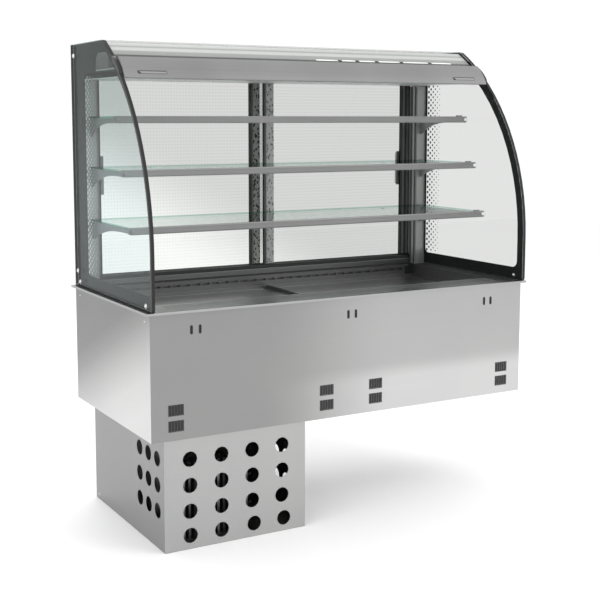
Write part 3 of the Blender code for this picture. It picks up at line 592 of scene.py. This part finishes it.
def glowing(name):
    """The white tube or bar of a lamp."""
    material, tree, shader = new_material(name)
    cloud = place_texture(tree, 30.0, Detail=2.0)
    colour = ramp(tree, cloud, [(0.3, shade(0.95)), (0.7, shade(0.99))])
    tree.links.new(colour, shader.inputs["Base Color"])
    shader.inputs["Roughness"].default_value = 0.35
    shader.inputs["Emission Color"].default_value = (1.0, 0.99, 0.97, 1)
    shader.inputs["Emission Strength"].default_value = 0.35
    return material


def painted_light_bands(name, low, high, bands):
    """A pale sheet with painted lamplight: its colour and a faint glow change in level bands between
    two heights.
    """
    material, tree, shader = new_material(name)
    height = placed(tree, object_axes(tree)[2], low, high)
    colour = ramp(tree, height, [(spot, shade(tone)) for spot, tone in bands])
    tree.links.new(colour, shader.inputs["Base Color"])
    tree.links.new(colour, shader.inputs["Emission Color"])
    shader.inputs["Emission Strength"].default_value = 0.06
    shader.inputs["Roughness"].default_value = 0.45
    return material


LAMP = glowing("lamp_diffuser")
ROOF_LOW, ROOF_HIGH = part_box("roof_glass")
# the diffuser's level bands are painted lamplight
DIFFUSER_PAINTED_LIGHT = painted_light_bands("diffuser_painted_lamplight", ROOF_LOW.z, ROOF_HIGH.z - 0.007, [
    (0.00, 0.26), (0.14, 0.28), (0.19, 0.60), (0.42, 0.62), (0.49, 0.79), (0.66, 0.78),
    (0.71, 0.62), (0.76, 0.64), (0.83, 0.76), (1.00, 0.77),
])

# the finish of each CAD node
LOOKS = {
    STEEL_FRONT: ["casing_front"],
    STEEL_LEFT: ["casing_left"],
    STEEL_SHEET: ["casing_back", "casing_right", "casing_base"],
    STEEL_BOX: ["machine_front", "machine_back", "machine_base"],
    STEEL_BOX_SIDE_PAINTED_SHADE: ["machine_left", "machine_right"],
    STEEL_FLANGE: ["counter_flange"],
    STEEL_WELL: ["tub", "rear_air_panel", "fan_baffle"],
    STEEL_GRILLE: ["return_grille"],
    STEEL_TRAY: ["deck_tray_left", "deck_tray_right"],
    GREY_FRAME: ["header"],
    GREY: ["upright_left", "upright_right", "door_grip_left", "door_grip_right"],
    GREY_RAIL: [f"shelf_rail_{n}" for n in (1, 2, 3)]
    + [f"shelf_bracket_{n}_{word}" for n in (1, 2, 3) for word in ("left", "right")],
    FLAP_GREY: ["canopy_flap"],
    CEILING: ["ceiling_panel"],
    PLASTIC: [
        "evaporator_fan_left", "evaporator_fan_right", "condenser_fan", "fan_shroud",
        "control_panel", "door_track",
    ],
    RUBBER: ["pane_seal_left", "pane_seal_right", "cable_gland"],
    BLACK: ["drain_lever", "power_switch"],
    CREAM: ["drain_pipe", "thermostat_knob"],
    COMPRESSOR_BLACK: ["compressor"],
    FIN: ["evaporator_coil", "condenser_coil"],
    COPPER: ["discharge_line", "suction_line"],
    FOAM: ["insulation"],
    PANE_GLASS: ["side_pane_left"],
    RIGHT_GLASS: ["side_pane_right"],
    DOOR_GLASS: ["door_left", "door_right"],
    SHELF_GLASS: [f"shelf_glass_{n}" for n in (1, 2, 3)],
    ROOF_GLASS: ["roof_glass"],
}

# CAD nodes by the width of their eased edges
EASED = {
    0.0004: [
        "casing_front", "casing_back", "casing_left", "casing_right", "machine_front",
        "machine_left", "machine_right", "machine_back", "deck_tray_left", "deck_tray_right",
    ],
    0.0006: ["counter_flange"],
    0.0008: ["header", "canopy_flap"],
    0.0010: ["upright_left", "upright_right", "door_grip_left", "door_grip_right"],
}


def dress_nodes():
    """Gives every CAD node its finish, and eases the sharp edges of folded sheet."""
    for material, names in LOOKS.items():
        for name in names:
            node = NODES[name]
            node.data.materials.clear()
            node.data.materials.append(material)
    for width, names in EASED.items():
        for name in names:
            weld = NODES[name].modifiers.new("weld", "WELD")
            weld.merge_threshold = 0.00001
            bevel = NODES[name].modifiers.new("eased_edges", "BEVEL")
            bevel.width = width
            bevel.segments = 2
            bevel.limit_method = "ANGLE"
            bevel.angle_limit = math.radians(35)


# -------- printed panes

PRINT_FRONT = 0.034
PRINT_BOTTOM = 0.050
PRINT_REAR = 0.592
HEAD_FRONT = 0.477
HEAD_BOTTOM = 0.754
PRINT_TOP = 0.818
DOT_PITCH = 0.0215
DOT_COLUMNS = 6
DOT_COLUMN_STEP = 0.0145


def window_outline():
    """The clear window in a side pane's print."""
    front = [arc_yz(z, PRINT_FRONT) for z in spread(PRINT_BOTTOM, PRINT_TOP, 14)[::-1]]
    corners = [(PRINT_REAR, PRINT_BOTTOM), (PRINT_REAR, HEAD_BOTTOM), (HEAD_FRONT, HEAD_BOTTOM)]
    corners += [(HEAD_FRONT, PRINT_TOP)] + front
    radii = [0.018, 0.014, 0.010, 0.030, 0.022] + [0] * (len(front) - 2) + [0.024]
    return rounded(corners, radii)


def pane_edge_outline(inset):
    """The pane's own outline, inset."""
    low, high = PANE_LOW.z + inset, PANE_HIGH.z - inset
    front = [arc_yz(z, inset + 0.0023) for z in spread(low, high, 20)]
    rear = PANE_HIGH.y - inset
    return [(rear, low), (rear, high)] + front[::-1]


def make_prints():
    """The screen-printed border and dot columns on the inside of each side pane."""
    for word, side in SIDES:
        middle = side * (PANE_INNER - 0.00015)
        ring = outline_mesh(
            f"pane_print_{word}", [pane_edge_outline(0.0005), window_outline()], SKIN, "side", middle
        )
        bm_piece(f"pane_print_{word}", ring, PRINT)
        dots = bmesh.new()
        for column in range(DOT_COLUMNS):
            radius = 0.0060 - 0.00075 * column
            y = PRINT_REAR - 0.009 - DOT_COLUMN_STEP * column
            z = 0.062 + (DOT_PITCH / 2 if column % 2 else 0)
            while z < HEAD_BOTTOM - 0.008:
                matrix = Matrix.Translation((middle, y, z)) @ Matrix.Rotation(math.pi / 2, 4, "Y")
                bmesh.ops.create_cone(
                    dots, cap_ends=True, segments=10, radius1=radius, radius2=radius,
                    depth=SKIN, matrix=matrix,
                )
                z += DOT_PITCH
        # the left pane's dots take the pale copy of the print, painted light
        bm_piece(f"pane_dots_{word}", dots, DOTS if side > 0 else DOTS_PAINTED_LIGHT)


def make_pane_trims():
    """The dark strip on each pane's rear edge, and the black band down its front edge."""
    for word, side in SIDES:
        strip = bmesh.new()
        foot = PANE_LOW.z + 0.0005
        add_box(
            strip, (side * PANE_INNER, PANE_HIGH.y + 0.0001, foot),
            (side * PANE_OUTER, PANE_HIGH.y + 0.0006, PANE_HIGH.z - 0.0005),
        )
        bm_piece(f"pane_trim_{word}", strip, PRINT)
        middle = side * (PANE_OUTER + 0.00015)
        band = curved_strip(foot, BAND_TOP, 0.0026, 0.0120, SKIN, middle, 20)
        bm_piece(f"pane_band_{word}", band, BLACK)


BOLT_SPOTS = ((0.675, 0.818), (0.675, 0.058), (0.653, 0.020), (0.035, 0.020))
BOLT = (
    (0, 0.0046), (0.0016, 0.0046), (0.0018, 0.0052), (0.0042, 0.0046), (0.0058, 0.0030),
    (0.0062, 0.0012), (0.0082, 0.0010), (0.0086, 0.0003), (0.0086, 0.0001), (0, 0.0001),
)


def make_pane_bolts():
    """Button-head bolts with washers, through each pane near its edges."""
    for word, side in SIDES:
        shape = bmesh.new()
        for y, z in BOLT_SPOTS:
            add_turned(shape, BOLT, (side * PANE_OUTER, y, z), "X", flip=side < 0, steps=20)
            inner = [(r * 0.9, h) for r, h in BOLT]
            inside = side * (PANE_INNER - 0.0003)
            if y < 0.1:
                add_turned(shape, inner, (inside, y, z), "X", flip=side > 0, steps=20)
        bm_piece(f"pane_bolts_{word}", shape, STEEL_BOLT, smooth=40)


def make_canopy_caps():
    """Black moulded caps that hug each pane's front edge where the canopy ends."""
    low, high, proud = 0.742, 0.800, 0.0060
    for word, side in SIDES:
        outer = []
        inner = []
        steps = 12
        for i in range(steps + 1):
            t = i / steps
            z = low + (high - low) * t
            swell = proud * math.sin(math.pi * t) ** 0.6
            y, _ = arc_yz(z)
            slope = Vector((-(ARC_CENTRE - y), z - ARC_START)).normalized()
            outer.append((y + slope.x * (swell + 0.0004), z + slope.y * (swell + 0.0004)))
            inner.append((y - slope.x * 0.004, z - slope.y * 0.004))
        centre = side * (PANE_OUTER - 0.005)
        cap = outline_mesh("cap", [outer + inner[::-1]], 0.0125, "side", centre)
        for x_side in (-1, 1):
            cheek = [
                (y + 0.010 * (1 - abs(2 * i / steps - 1) ** 3), z) for i, (y, z) in enumerate(inner)
            ]
            flank = outline_mesh(
                "flank", [outer + cheek[::-1]], 0.0011, "side", centre + x_side * 0.00562
            )
            join(cap, flank)
        bm_piece(f"canopy_cap_{word}", cap, BLACK, smooth=30)


# -------- rear frame and doors

def door_facts(word):
    low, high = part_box(f"door_{word}")
    return low, high, (low.y + high.y) / 2


def make_door_stiles():
    """Slim channels on both upright edges of each door, with mottled print on the inner ones."""
    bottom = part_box("door_track")[1].z + 0.0015
    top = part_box("header")[0].z - 0.0015
    inner_wide = 0.043
    outer_wide = 0.045
    for word, inner_side in (("left", 1), ("right", -1)):
        low, high, middle = door_facts(word)
        inner_edge = high.x if inner_side > 0 else low.x
        outer_edge = low.x if inner_side > 0 else high.x
        body = f"door_{word}"
        channel = bmesh.new()
        ribs = bmesh.new()
        for edge, way, width in (
            (inner_edge, -inner_side, inner_wide), (outer_edge, inner_side, outer_wide)
        ):
            a, b = sorted((edge, edge + way * width))
            for face in (-1, 1):
                y0, y1, y2, y3 = (middle + face * d for d in (0.0033, 0.0058, 0.0059, 0.0068))
                add_box(channel, (a, y0, bottom), (b, y1, top), 0.0006)
                for spot in (0.30, 0.74):
                    rib = a + (b - a) * spot
                    add_box(ribs, (rib - 0.0050, y2, bottom + 0.002), (rib + 0.0050, y3, top - 0.002))
        bm_piece(f"door_stiles_{word}", channel, DARK_FRAME, body)
        bm_piece(f"door_stile_ribs_{word}", ribs, STILE_GREY, body)
        strip = bmesh.new()
        y_front = middle - 0.0071
        near, far = (0.001, 0.032) if word == "left" else (0.015, 0.0425)
        a, b = inner_edge - inner_side * near, inner_edge - inner_side * far
        add_box(strip, (a, y_front - 0.0002, bottom + 0.002), (b, y_front + 0.0002, top - 0.002))
        bm_piece(
            f"door_mottle_{word}", strip, MOTTLED_GREY if word == "left" else MOTTLED_DARK, body
        )


def make_upright_details():
    """Ribs on the inner face of each rear upright, and lips down its front face."""
    for word, side in SIDES:
        low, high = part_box(f"upright_{word}")
        inner = low.x if side > 0 else high.x
        front = low.y
        bottom = low.z + 0.004
        top = high.z - 0.004
        shape = bmesh.new()
        face = inner - side * 0.0002
        for y0, y1 in ((front + 0.004, front + 0.012), (front + 0.028, front + 0.037)):
            add_box(shape, (face, y0, bottom), (face - side * 0.0022, y1, top), 0.0005)
        bm_piece(f"upright_ribs_{word}", shape, DARK_FRAME)
        lips = bmesh.new()
        for x in (inner + side * 0.0020, inner + side * 0.0440):
            add_box(
                lips, (x - 0.0016, front - 0.0022, bottom), (x + 0.0016, front - 0.0001, top), 0.0005
            )
        bm_piece(f"upright_lips_{word}", lips, GREY_FRAME)


def make_grille_slots():
    """The dark floor of each slot in the return-air grille, a painted shade."""
    low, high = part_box("return_grille")
    count = int((high.x - low.x - 0.04) / GRILLE_PITCH)
    # black plates in the slots: painted shade
    floors = bmesh.new()
    for i in range(count):
        x = (i - (count - 1) / 2) * GRILLE_PITCH
        add_box(
            floors, (x - 0.0028, low.y + 0.0084, high.z - 0.0008),
            (x + 0.0028, high.y - 0.0124, high.z - 0.0005),
        )
    bm_piece("grille_slot_painted_shade", floors, BLACK, "return_grille")


def make_track_details():
    """Brush seals along the door track's ribs, a drip lip in front of it, and a riser slot drawn as a
    black sheet of painted shade.
    """
    # the riser slot is a black sheet: painted shade
    slot = bmesh.new()
    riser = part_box("rear_air_panel")[0].y
    add_box(slot, (0.650, riser - 0.0008, -0.050), (0.678, riser - 0.0002, -0.008))
    bm_piece("riser_slot_painted_shade", slot, BLACK)
    low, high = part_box("door_track")
    shape = bmesh.new()
    add_box(
        shape, (low.x + 0.002, low.y - 0.0042, low.z + 0.0005),
        (high.x - 0.002, low.y - 0.0003, low.z + 0.020), 0.0008,
    )
    bm_piece("track_lip", shape, STEEL_WELL)
    brush = bmesh.new()
    for word in ("left", "right"):
        _, _, middle = door_facts(word)
        for way in (-1, 1):
            y = middle + way * 0.0052
            add_box(
                brush, (low.x + 0.004, y - 0.0006, high.z + 0.0001),
                (high.x - 0.004, y + 0.0006, high.z + 0.0012),
            )
    bm_piece("track_brushes", brush, BLACK)


# -------- shelves

def make_shelf_details():
    """Round end caps on each shelf rail, and fasteners where the brackets meet the glass."""
    for number in (1, 2, 3):
        low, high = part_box(f"shelf_rail_{number}")
        body = f"shelf_{number}"
        middle_y = (low.y + high.y) / 2
        middle_z = (low.z + high.z) / 2
        outline = [(middle_y + u * 0.0066, middle_z + v * 0.0112) for u, v in circle(1, 20)]
        for word, side, x, finish in (
            ("left", -1, low.x, GREY_RAIL), ("right", 1, high.x, CREAM)
        ):
            caps = outline_mesh("plate", [outline], 0.0030, "side", x + side * 0.0018)
            add_turned(caps, RAIL_DISC, (x + side * 0.0034, middle_y, middle_z), "X", side < 0, 20)
            spot = (x - side * 0.0075, low.y - 0.0001, middle_z)
            add_turned(caps, RAIL_BUTTON, spot, "Y", True, 20)
            bm_piece(f"shelf_caps_{word}_{number}", caps, finish, body, smooth=40)
        clip = bmesh.new()
        add_box(
            clip, (high.x - 0.046, low.y + 0.001, high.z + 0.0001),
            (high.x - 0.022, low.y + 0.010, high.z + 0.0042), 0.0008,
        )
        bm_piece(f"shelf_clip_{number}", clip, STILE_GREY, body)
        nose = bmesh.new()
        for height in (high.z - 0.0050, low.z + 0.0050):
            add_box(
                nose, (low.x + 0.004, low.y - 0.0011, height - 0.0014),
                (high.x - 0.004, low.y - 0.0001, height + 0.0014), 0.0005,
            )
        bm_piece(f"shelf_nose_{number}", nose, GREY_RAIL, body)
        fasteners = bmesh.new()
        for word, side in SIDES:
            b_low, b_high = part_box(f"shelf_bracket_{number}_{word}")
            face = b_low.x if side > 0 else b_high.x
            z = (low.z + high.z) / 2 - 0.004
            for y in (low.y + 0.070, b_high.y - 0.020):
                add_turned(fasteners, BRACKET_SCREW, (face, y, z), "X", flip=side > 0, steps=16)
        bm_piece(f"bracket_screws_{number}", fasteners, BLACK, smooth=40)
        buffer = bmesh.new()
        g_low, g_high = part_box(f"shelf_glass_{number}")
        for x in (-0.5, 0.0, 0.5):
            spot = Vector((x, g_high.y - 0.03, g_low.z))
            add_turned(buffer, BUFFER, spot - Vector((0, 0, 0.0026)), "Z", steps=14)
        bm_piece(f"shelf_buffers_{number}", buffer, RUBBER, body, smooth=40)


# -------- canopy

def make_canopy_details():
    """The lamps, their holders and the channel that they lie in, under the curved roof."""
    f_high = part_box("canopy_flap")[1]
    half = ROOF_HIGH.x - 0.004
    c_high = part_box("ceiling_panel")[1]
    channel = bmesh.new()
    y0 = f_high.y + 0.030
    add_box(channel, (-half, y0, c_high.z + 0.001), (half, y0 + 0.060, c_high.z + 0.0035), 0.0008)
    add_box(channel, (-half, y0, c_high.z + 0.0036), (half, y0 + 0.0025, c_high.z + 0.020), 0.0008)
    add_box(
        channel, (-half, y0 + 0.0575, c_high.z + 0.0036), (half, y0 + 0.060, c_high.z + 0.034), 0.0008
    )
    bm_piece("lamp_channel", channel, GREY_RAIL)
    lamps = bmesh.new()
    joints = bmesh.new()
    bars = 6
    length = 2 * half / bars
    z = c_high.z + 0.020
    y = y0 + 0.026
    for i in range(bars):
        x0 = -half + length * i + 0.016
        x1 = -half + length * (i + 1) - 0.016
        add_pipe(lamps, [(x0, y, z), (x1, y, z)], 0.0080, 16)
        for x in (x0 - 0.008, x1 + 0.008):
            add_pipe(joints, [(x - 0.0078, y, z), (x + 0.0078, y, z)], 0.0095, 16)
            add_box(
                joints, (x - 0.005, y - 0.006, c_high.z + 0.0037), (x + 0.005, y + 0.006, z - 0.006)
            )
    bm_piece("lamp_tubes", lamps, LAMP, smooth=60)
    bm_piece("lamp_holders", joints, PLASTIC, smooth=60)


def make_diffuser():
    """The curved diffuser just inside the roof's front edge, its banded colour and glow painted
    lamplight, and the lamp bars at its foot.
    """
    half = ROOF_HIGH.x - 0.003
    low = ROOF_LOW.z + 0.0005
    sheet = curved_strip(low, ROOF_HIGH.z - 0.007, 0.0108, 0.0120, 2 * half, 0)
    foot_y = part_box("canopy_flap")[1].y + 0.010
    add_box(sheet, (-half, foot_y, low - 0.0030), (half, arc_yz(low, 0.0130)[0], low - 0.0018))
    bm_piece("lamp_diffuser", sheet, DIFFUSER_PAINTED_LIGHT, smooth=40)
    joints = (0.140, 0.215, 0.300, 0.410, 0.540)
    edges = [0.040] + [x + way * 0.008 for x in joints for way in (-1, 1)] + [0.640]
    bars = bmesh.new()
    for a, b in zip(edges[::2], edges[1::2]):
        bar = curved_strip(low + 0.006, low + 0.0105, 0.0098, 0.0105, b - a - 0.001, (a + b) / 2, 2)
        join(bars, bar)
    bm_piece("lamp_bars", bars, LAMP)
    clips = bmesh.new()
    for x in joints:
        join(clips, curved_strip(low + 0.0055, low + 0.011, 0.0097, 0.0106, 0.016, x, 2))
    bm_piece("lamp_bar_clips", clips, DARK_FRAME)


def make_flap_details():
    """The rims and floors of the two finger grips, the floors lighter as a painted highlight, and the
    flap's folded lower lip.
    """
    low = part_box("canopy_flap")[0]
    run = Vector((0, 0.057, 0.069)).normalized()
    out = Vector((0, -run.z, run.y))
    half = 0.051
    grip_x = 0.629
    rim, mouth, plate = [
        [(left - half, top), (slant - half, foot), (half - right, foot), (half - right, top)]
        for left, slant, right, foot, top in (
            (0.001, 0.012, 0.001, -0.0070, 0.0076),
            (0.005, 0.0145, 0.0035, -0.0046, 0.0052),
            (0.0065, 0.0145, 0.0035, -0.0046, 0.0030),
        )
    ]
    for word, side in SIDES:
        corner = Vector((side * grip_x, low.y, low.z)) + run * 0.0215 + out * 0.0030
        turn = Matrix((
            (1, run.x, out.x, corner.x), (0, run.y, out.y, corner.y),
            (0, run.z, out.z, corner.z), (0, 0, 0, 1),
        ))
        for kind, outlines, thick, level, finish in (
            ("rim", [rim, mouth], 0.0016, 0, STILE_GREY),
            # the floor plate's lighter grey is a painted highlight on the pocket's lit lower face
            ("floor", [plate], 0.0006, -0.0002, GREY),
        ):
            shape = outline_mesh("grip", outlines, thick, "level", level)
            bmesh.ops.transform(shape, matrix=turn, verts=shape.verts)
            bm_piece(f"grip_{kind}_{word}", shape, finish, "canopy_flap")
    lip = bmesh.new()
    ends = [(x, low.y + 0.0035, low.z - 0.0004) for x in (-0.7265, 0.7265)]
    add_pipe(lip, ends, 0.0030)
    bm_piece("flap_lip", lip, STILE_GREY, "canopy_flap", smooth=60)


# -------- casing

def make_casing_details():
    """Dark films behind the slots and vents as painted shade, louvres, slot edgings, folded hems and
    rivets.
    """
    face = BODY_LOW.y
    film = (face + 0.0013, face + 0.0014)
    proud = (face - 0.0006, face - 0.0001)
    # the dark films behind the openings are painted shade
    dark = bmesh.new()
    louvres = bmesh.new()
    for from_left in VENTS:
        x = BODY_LOW.x + from_left
        for middle in VENT_ROWS:
            add_box(
                dark, (x - 0.027, film[0], middle - 0.020), (x + 0.027, film[1], middle + 0.020)
            )
            for i in range(6):
                u = x + (i - 2.5) * 0.010
                add_box(
                    louvres, (u - 0.0017, proud[0], middle - 0.0165),
                    (u + 0.0017, proud[1], middle + 0.0165),
                )
            for z in (middle - 0.0172, middle + 0.0172):
                add_box(
                    louvres, (x - 0.0267, proud[0], z - 0.0008),
                    (x + 0.0267, proud[1], z + 0.0008),
                )
    edging = bmesh.new()
    for from_left in SLOT_PAIRS:
        centre = BODY_LOW.x + from_left
        add_box(dark, (centre - 0.022, film[0], -0.078), (centre + 0.022, film[1], -0.046))
        for side in (-1, 1):
            x = centre + side * SLOT_APART / 2
            rings = [
                rounded([(x - w, z0), (x + w, z0), (x + w, z1), (x - w, z1)], [w * 0.98] * 4, 4)
                for w, z0, z1 in ((0.0046, -0.0768, -0.0472), (0.0031, -0.0745, -0.0495))
            ]
            join(edging, outline_mesh("edging", rings, 0.0006, "front", face - 0.0004))
    bm_piece("vent_painted_shade", dark, BLACK)
    bm_piece("slot_edging", edging, BLACK)
    bm_piece("vent_louvres", louvres, PLASTIC)

    hems = bmesh.new()
    half = BODY_HIGH.x - 0.0015
    low = BODY_LOW.z
    for front, back in ((face + 0.0014, face + 0.018), (REAR - 0.018, REAR - 0.0014)):
        add_box(hems, (-half, front, low - 0.0006), (half, back, low - 0.0001))
    bm_piece("casing_hems", hems, STEEL_SHEET)

    rivets = bmesh.new()
    for z in (-0.03, -0.385):
        for x in (-0.715, -0.24, 0.24, 0.715):
            add_turned(rivets, RIVET, (x, REAR, z), "Y", steps=14)
        for side in (-1, 1):
            for y in (0.05, 0.66):
                spot = (side * BODY_HIGH.x, y, z)
                add_turned(rivets, RIVET, spot, "X", flip=side < 0, steps=14)
    bm_piece("casing_rivets", rivets, STEEL_BOLT, smooth=50)


def make_box_details():
    """Screws in the machine box's back and sides, and the pads inside its base."""
    low, high = BOX_LOW, BOX_HIGH
    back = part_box("machine_back")[1].y
    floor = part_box("machine_base")[1].z
    screws = bmesh.new()
    for z in (low.z + 0.018, high.z - 0.018):
        for x in (low.x + 0.014, high.x - 0.014):
            add_turned(screws, RIVET, (x, back, z), "Y", steps=14)
        for side, x in ((-1, low.x), (1, high.x)):
            add_turned(screws, RIVET, (x, back - 0.030, z), "X", flip=side < 0, steps=14)
    bm_piece("machine_box_screws", screws, STEEL_BOLT, smooth=50)
    pads = bmesh.new()
    for x in (low.x + 0.03, high.x - 0.03):
        for y in (low.y + 0.035, back - 0.035):
            add_turned(pads, WASHER, (x, y, floor + 0.0001), "Z", steps=18)
    bm_piece("machine_base_washers", pads, RUBBER, smooth=50)


def closed_run(centre, radius, level):
    """A closed run of points round a centre, level or standing across Y."""
    points = circle(radius, 40)
    return [centre + Vector((u, v, 0) if level else (u, 0, v)) for u, v in points + points[:1]]


def make_unit_details():
    """Compressor's weld seam, terminal cover and feet, the coil's bends and the fan's guard."""
    low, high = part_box("compressor")
    centre = (low + high) / 2
    radius = (high.x - low.x) / 2
    rubber = bmesh.new()
    seam = Vector((centre.x, centre.y, low.z + 0.153))
    add_pipe(rubber, closed_run(seam, radius + 0.001, True), 0.0024, 8)
    for i in range(3):
        a = math.tau * i / 3 + 0.5
        x = centre.x + 0.072 * math.cos(a)
        y = centre.y + 0.072 * math.sin(a)
        add_turned(rubber, RUBBER_FOOT, (x, y, low.z + 0.0002), "Z", steps=16)
    bm_piece("compressor_feet", rubber, RUBBER, smooth=50)
    cover = bmesh.new()
    add_box(
        cover, (centre.x - 0.030, low.y - 0.026, low.z + 0.165),
        (centre.x + 0.030, low.y + 0.004, low.z + 0.235), 0.004,
    )
    bm_piece("compressor_terminal_cover", cover, PLASTIC, smooth=40)

    low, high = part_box("condenser_coil")
    bends = bmesh.new()
    tube = 0.0042
    reach = 0.010
    front, back = low.y + reach, high.y - reach
    for i in range(7):
        z = low.z + 0.030 + i * 0.033
        for y in (front, back):
            add_pipe(bends, [(high.x + 0.0004, y, z), (high.x + reach, y, z)], tube)
        turn = []
        for k in range(9):
            a = math.pi * k / 8
            x = high.x + reach + 0.008 * math.sin(a)
            turn.append((x, front + (back - front) * (1 - math.cos(a)) / 2, z))
        add_pipe(bends, turn, tube)
    bm_piece("condenser_bends", bends, TUBE_DARK, smooth=60)

    low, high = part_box("condenser_fan")
    middle = (low + high) / 2
    middle.y = GUARD_PLANE
    guard = bmesh.new()
    for radius in (0.045, 0.070, 0.095, 0.118):
        add_pipe(guard, closed_run(middle, radius, False), 0.0012, 6)
    bm_piece("fan_guard", guard, STEEL_BOLT, smooth=60)


def make_control_details():
    """Pointer, dial marks and lamp on the control panel at the back."""
    k_low, k_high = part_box("thermostat_knob")
    centre = (k_low + k_high) / 2
    face = k_high.y
    pointer = bmesh.new()
    add_box(
        pointer, (centre.x - 0.0010, face - 0.001, centre.z + 0.003),
        (centre.x + 0.0010, face + 0.0006, centre.z + 0.0145), 0.0003,
    )
    bm_piece("knob_pointer", pointer, BLACK, "thermostat_knob")
    p_low, p_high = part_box("control_panel")
    marks = bmesh.new()
    for i in range(10):
        a = math.radians(90 - i * 30)
        x = centre.x + 0.0235 * math.cos(a)
        z = centre.z + 0.0235 * math.sin(a)
        add_turned(marks, DIAL_DOT, (x, p_high.y, z), "Y", steps=10)
    bm_piece("dial_marks", marks, CREAM)
    lamp = bmesh.new()
    add_turned(lamp, LAMP_LENS, (-0.418, p_high.y, centre.z), "Y", steps=18)
    bm_piece("run_lamp", lamp, LAMP, smooth=50)
    screws = bmesh.new()
    inset = 0.008
    for x in (p_low.x + inset, p_high.x - inset):
        for z in (p_low.z + inset, p_high.z - inset):
            add_turned(screws, PANEL_SCREW, (x, p_high.y, z), "Y", steps=14)
    bm_piece("panel_screws", screws, STEEL_BOLT, smooth=50)


# -------- stage

def make_stage():
    floor_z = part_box("machine_base")[0].z - 0.0006
    shape = bmesh.new()
    bmesh.ops.create_grid(
        shape, x_segments=2, y_segments=2, size=9, matrix=Matrix.Translation((0, 0, floor_z))
    )
    floor = bm_piece("floor", shape, painted("studio_floor", 0.985, 0.6, speckle=0.002), None)
    world = bpy.data.worlds.new("studio")
    world.use_nodes = True
    backdrop = world.node_tree.nodes["Background"]
    backdrop.inputs["Color"].default_value = (1, 1, 1, 1)
    backdrop.inputs["Strength"].default_value = 1.04
    bpy.context.scene.world = world
    bpy.context.scene.view_settings.view_transform = "Standard"
    aim = Vector((0, 0.35, 0.1))
    for name, place, size, power in (
        ("key", (2.6, -3.2, 3.2), 2.6, 70),
        ("fill", (-3.4, -1.6, 2.4), 2.6, 40),
        ("back", (0.5, 3.6, 2.8), 3.0, 50),
    ):
        light = bpy.data.lights.new(name, "AREA")
        light.energy = power
        light.size = size
        lamp = add_object(name, light)
        lamp.location = place
        lamp.rotation_mode = "QUATERNION"
        lamp.rotation_quaternion = (aim - Vector(place)).to_track_quat("-Z", "Y")


def make_camera():
    data = bpy.data.cameras.new("camera")
    data.lens = LENS
    data.sensor_width = 36.0
    data.shift_x, data.shift_y = SHIFT
    camera = add_object("camera", data)
    camera.location = EYE
    camera.rotation_euler = (math.radians(90 - TILT), 0, math.radians(-HEADING))
    bpy.context.scene.camera = camera


make_camera()
make_stage()
dress_nodes()
make_prints()
make_pane_trims()
make_pane_bolts()
make_canopy_caps()
make_door_stiles()
make_upright_details()
make_grille_slots()
make_track_details()
make_shelf_details()
make_canopy_details()
make_diffuser()
make_flap_details()
make_casing_details()
make_box_details()
make_unit_details()
make_control_details()
